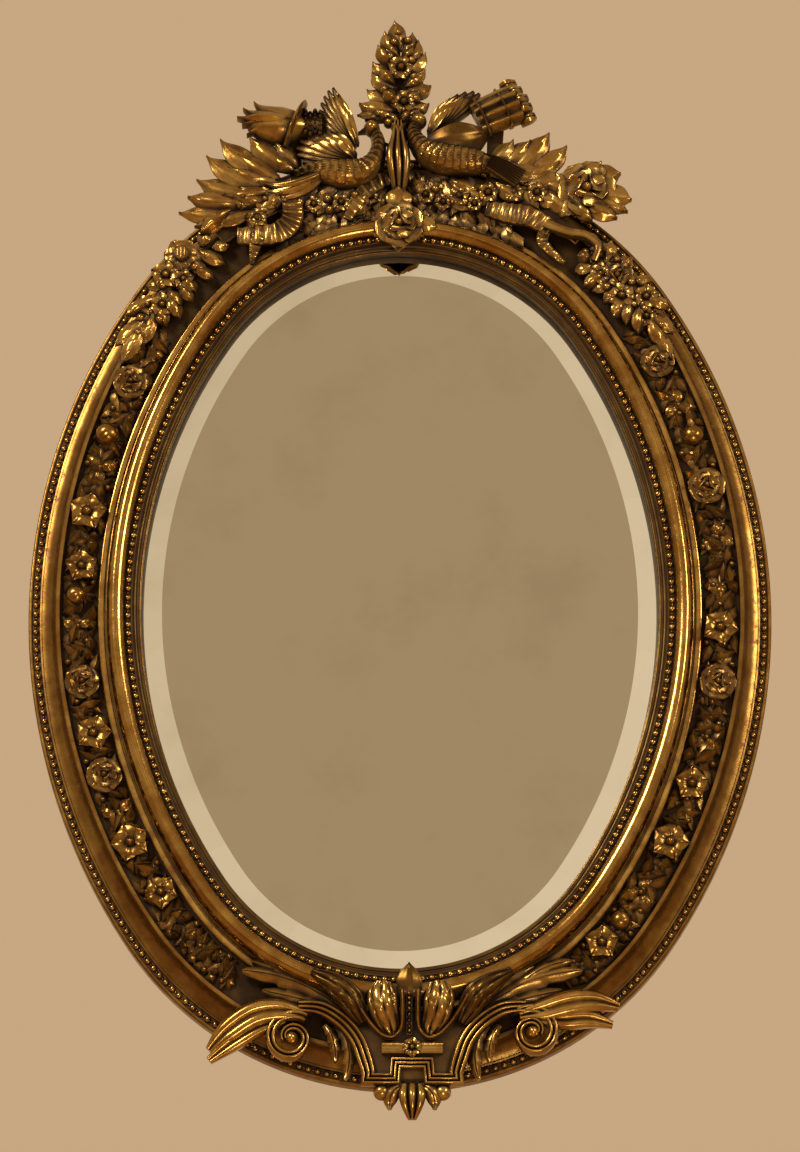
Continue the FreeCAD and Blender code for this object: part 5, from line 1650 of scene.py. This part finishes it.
class MIRROR_OT_stage(bpy.types.Operator):
    """Sets the floor, the light and the camera"""

    bl_idname = "mirror.stage"
    bl_label = "Stage"

    def execute(self, context):
        settings = context.scene.mirror_stage
        scene = context.scene
        floor_mesh = bpy.data.meshes.new("floor")
        square = ((-1, -1), (1, -1), (1, 1), (-1, 1))
        corners = [(x * FLOOR_REACH, y * FLOOR_REACH, FLOOR_LEVEL) for x, y in square]
        floor_mesh.from_pydata(corners, [], [(0, 1, 2, 3)])
        floor = bpy.data.objects.new("floor", floor_mesh)
        scene.collection.objects.link(floor)
        pale = Finish("pale_floor")
        floor_mesh.materials.append(pale.shade(Base_Color=tuple(settings.surround), Roughness=0.8))

        world = bpy.data.worlds.new("surround")
        world.use_nodes = True
        background = world.node_tree.nodes["Background"]
        background.inputs["Color"].default_value = tuple(settings.surround)
        background.inputs["Strength"].default_value = 1.0
        scene.world = world

        for name, place, size, power in LAMPS:
            soft_light(name, place, (0, 0, 0), size, power)
        for k in range(PANELS):
            angle = 2 * math.pi * k / PANELS
            x = RING_HALF_WIDTH * math.cos(angle)
            z = RING_MIDDLE + RING_HALF_HEIGHT * math.sin(angle)
            power = 0.27 + 0.05 * math.cos(angle + 0.9)
            soft_light(f"bevel_panel_{k}", (x, RING_BEFORE, z), (x, 0, z), PANEL_SIZE, power)

        view = bpy.data.cameras.new("camera")
        view.sensor_width = 36
        view.lens = view.sensor_width * settings.distance / (VIEW_HEIGHT * MM)
        view.clip_end = 60
        camera = bpy.data.objects.new("camera", view)
        target = Vector((0, 0, VIEW_CENTRE * MM))
        back = Vector((0, -math.cos(settings.pitch), -math.sin(settings.pitch)))
        camera.location = target + back * settings.distance
        camera.rotation_euler = (-back).to_track_quat("-Z", "Y").to_euler()
        scene.collection.objects.link(camera)
        scene.camera = camera
        scene.view_settings.view_transform = "Standard"
        return {"FINISHED"}



class MIRROR_PT_panel(bpy.types.Panel):
    """Lists the settings and the steps"""

    bl_idname = "MIRROR_PT_panel"
    bl_label = "Oval gilt mirror"
    bl_space_type = "VIEW_3D"
    bl_region_type = "UI"
    bl_category = "Mirror"

    def draw(self, context):
        layout = self.layout
        for group in (context.scene.mirror_sizes, context.scene.mirror_colours, context.scene.mirror_stage):
            for key in group.__annotations__:
                layout.prop(group, key)
        for step in STEPS:
            layout.operator(step.bl_idname)


GROUPS = {"mirror_sizes": MirrorSizes, "mirror_colours": GiltColours, "mirror_stage": StageSettings}
STEPS = [
    MIRROR_OT_mouldings, MIRROR_OT_pearls, MIRROR_OT_plate, MIRROR_OT_carcass, MIRROR_OT_doves,
    MIRROR_OT_trophies, MIRROR_OT_foliage, MIRROR_OT_ribbons, MIRROR_OT_shoulders, MIRROR_OT_frieze,
    MIRROR_OT_strapwork, MIRROR_OT_acanthus, MIRROR_OT_stage,
]


def register():
    for item in (*GROUPS.values(), *STEPS, MIRROR_PT_panel):
        bpy.utils.register_class(item)
    for name, group in GROUPS.items():
        setattr(bpy.types.Scene, name, bpy.props.PointerProperty(type=group))


def unregister():
    for name in GROUPS:
        delattr(bpy.types.Scene, name)
    for item in reversed((*GROUPS.values(), *STEPS, MIRROR_PT_panel)):
        bpy.utils.unregister_class(item)


def main():
    """Registers the add-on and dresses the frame."""
    register()
    make_finishes(bpy.context.scene.mirror_colours)
    for step in STEPS:
        group, name = step.bl_idname.split(".")
        getattr(getattr(bpy.ops, group), name)()


if __name__ == "__main__":
    main()
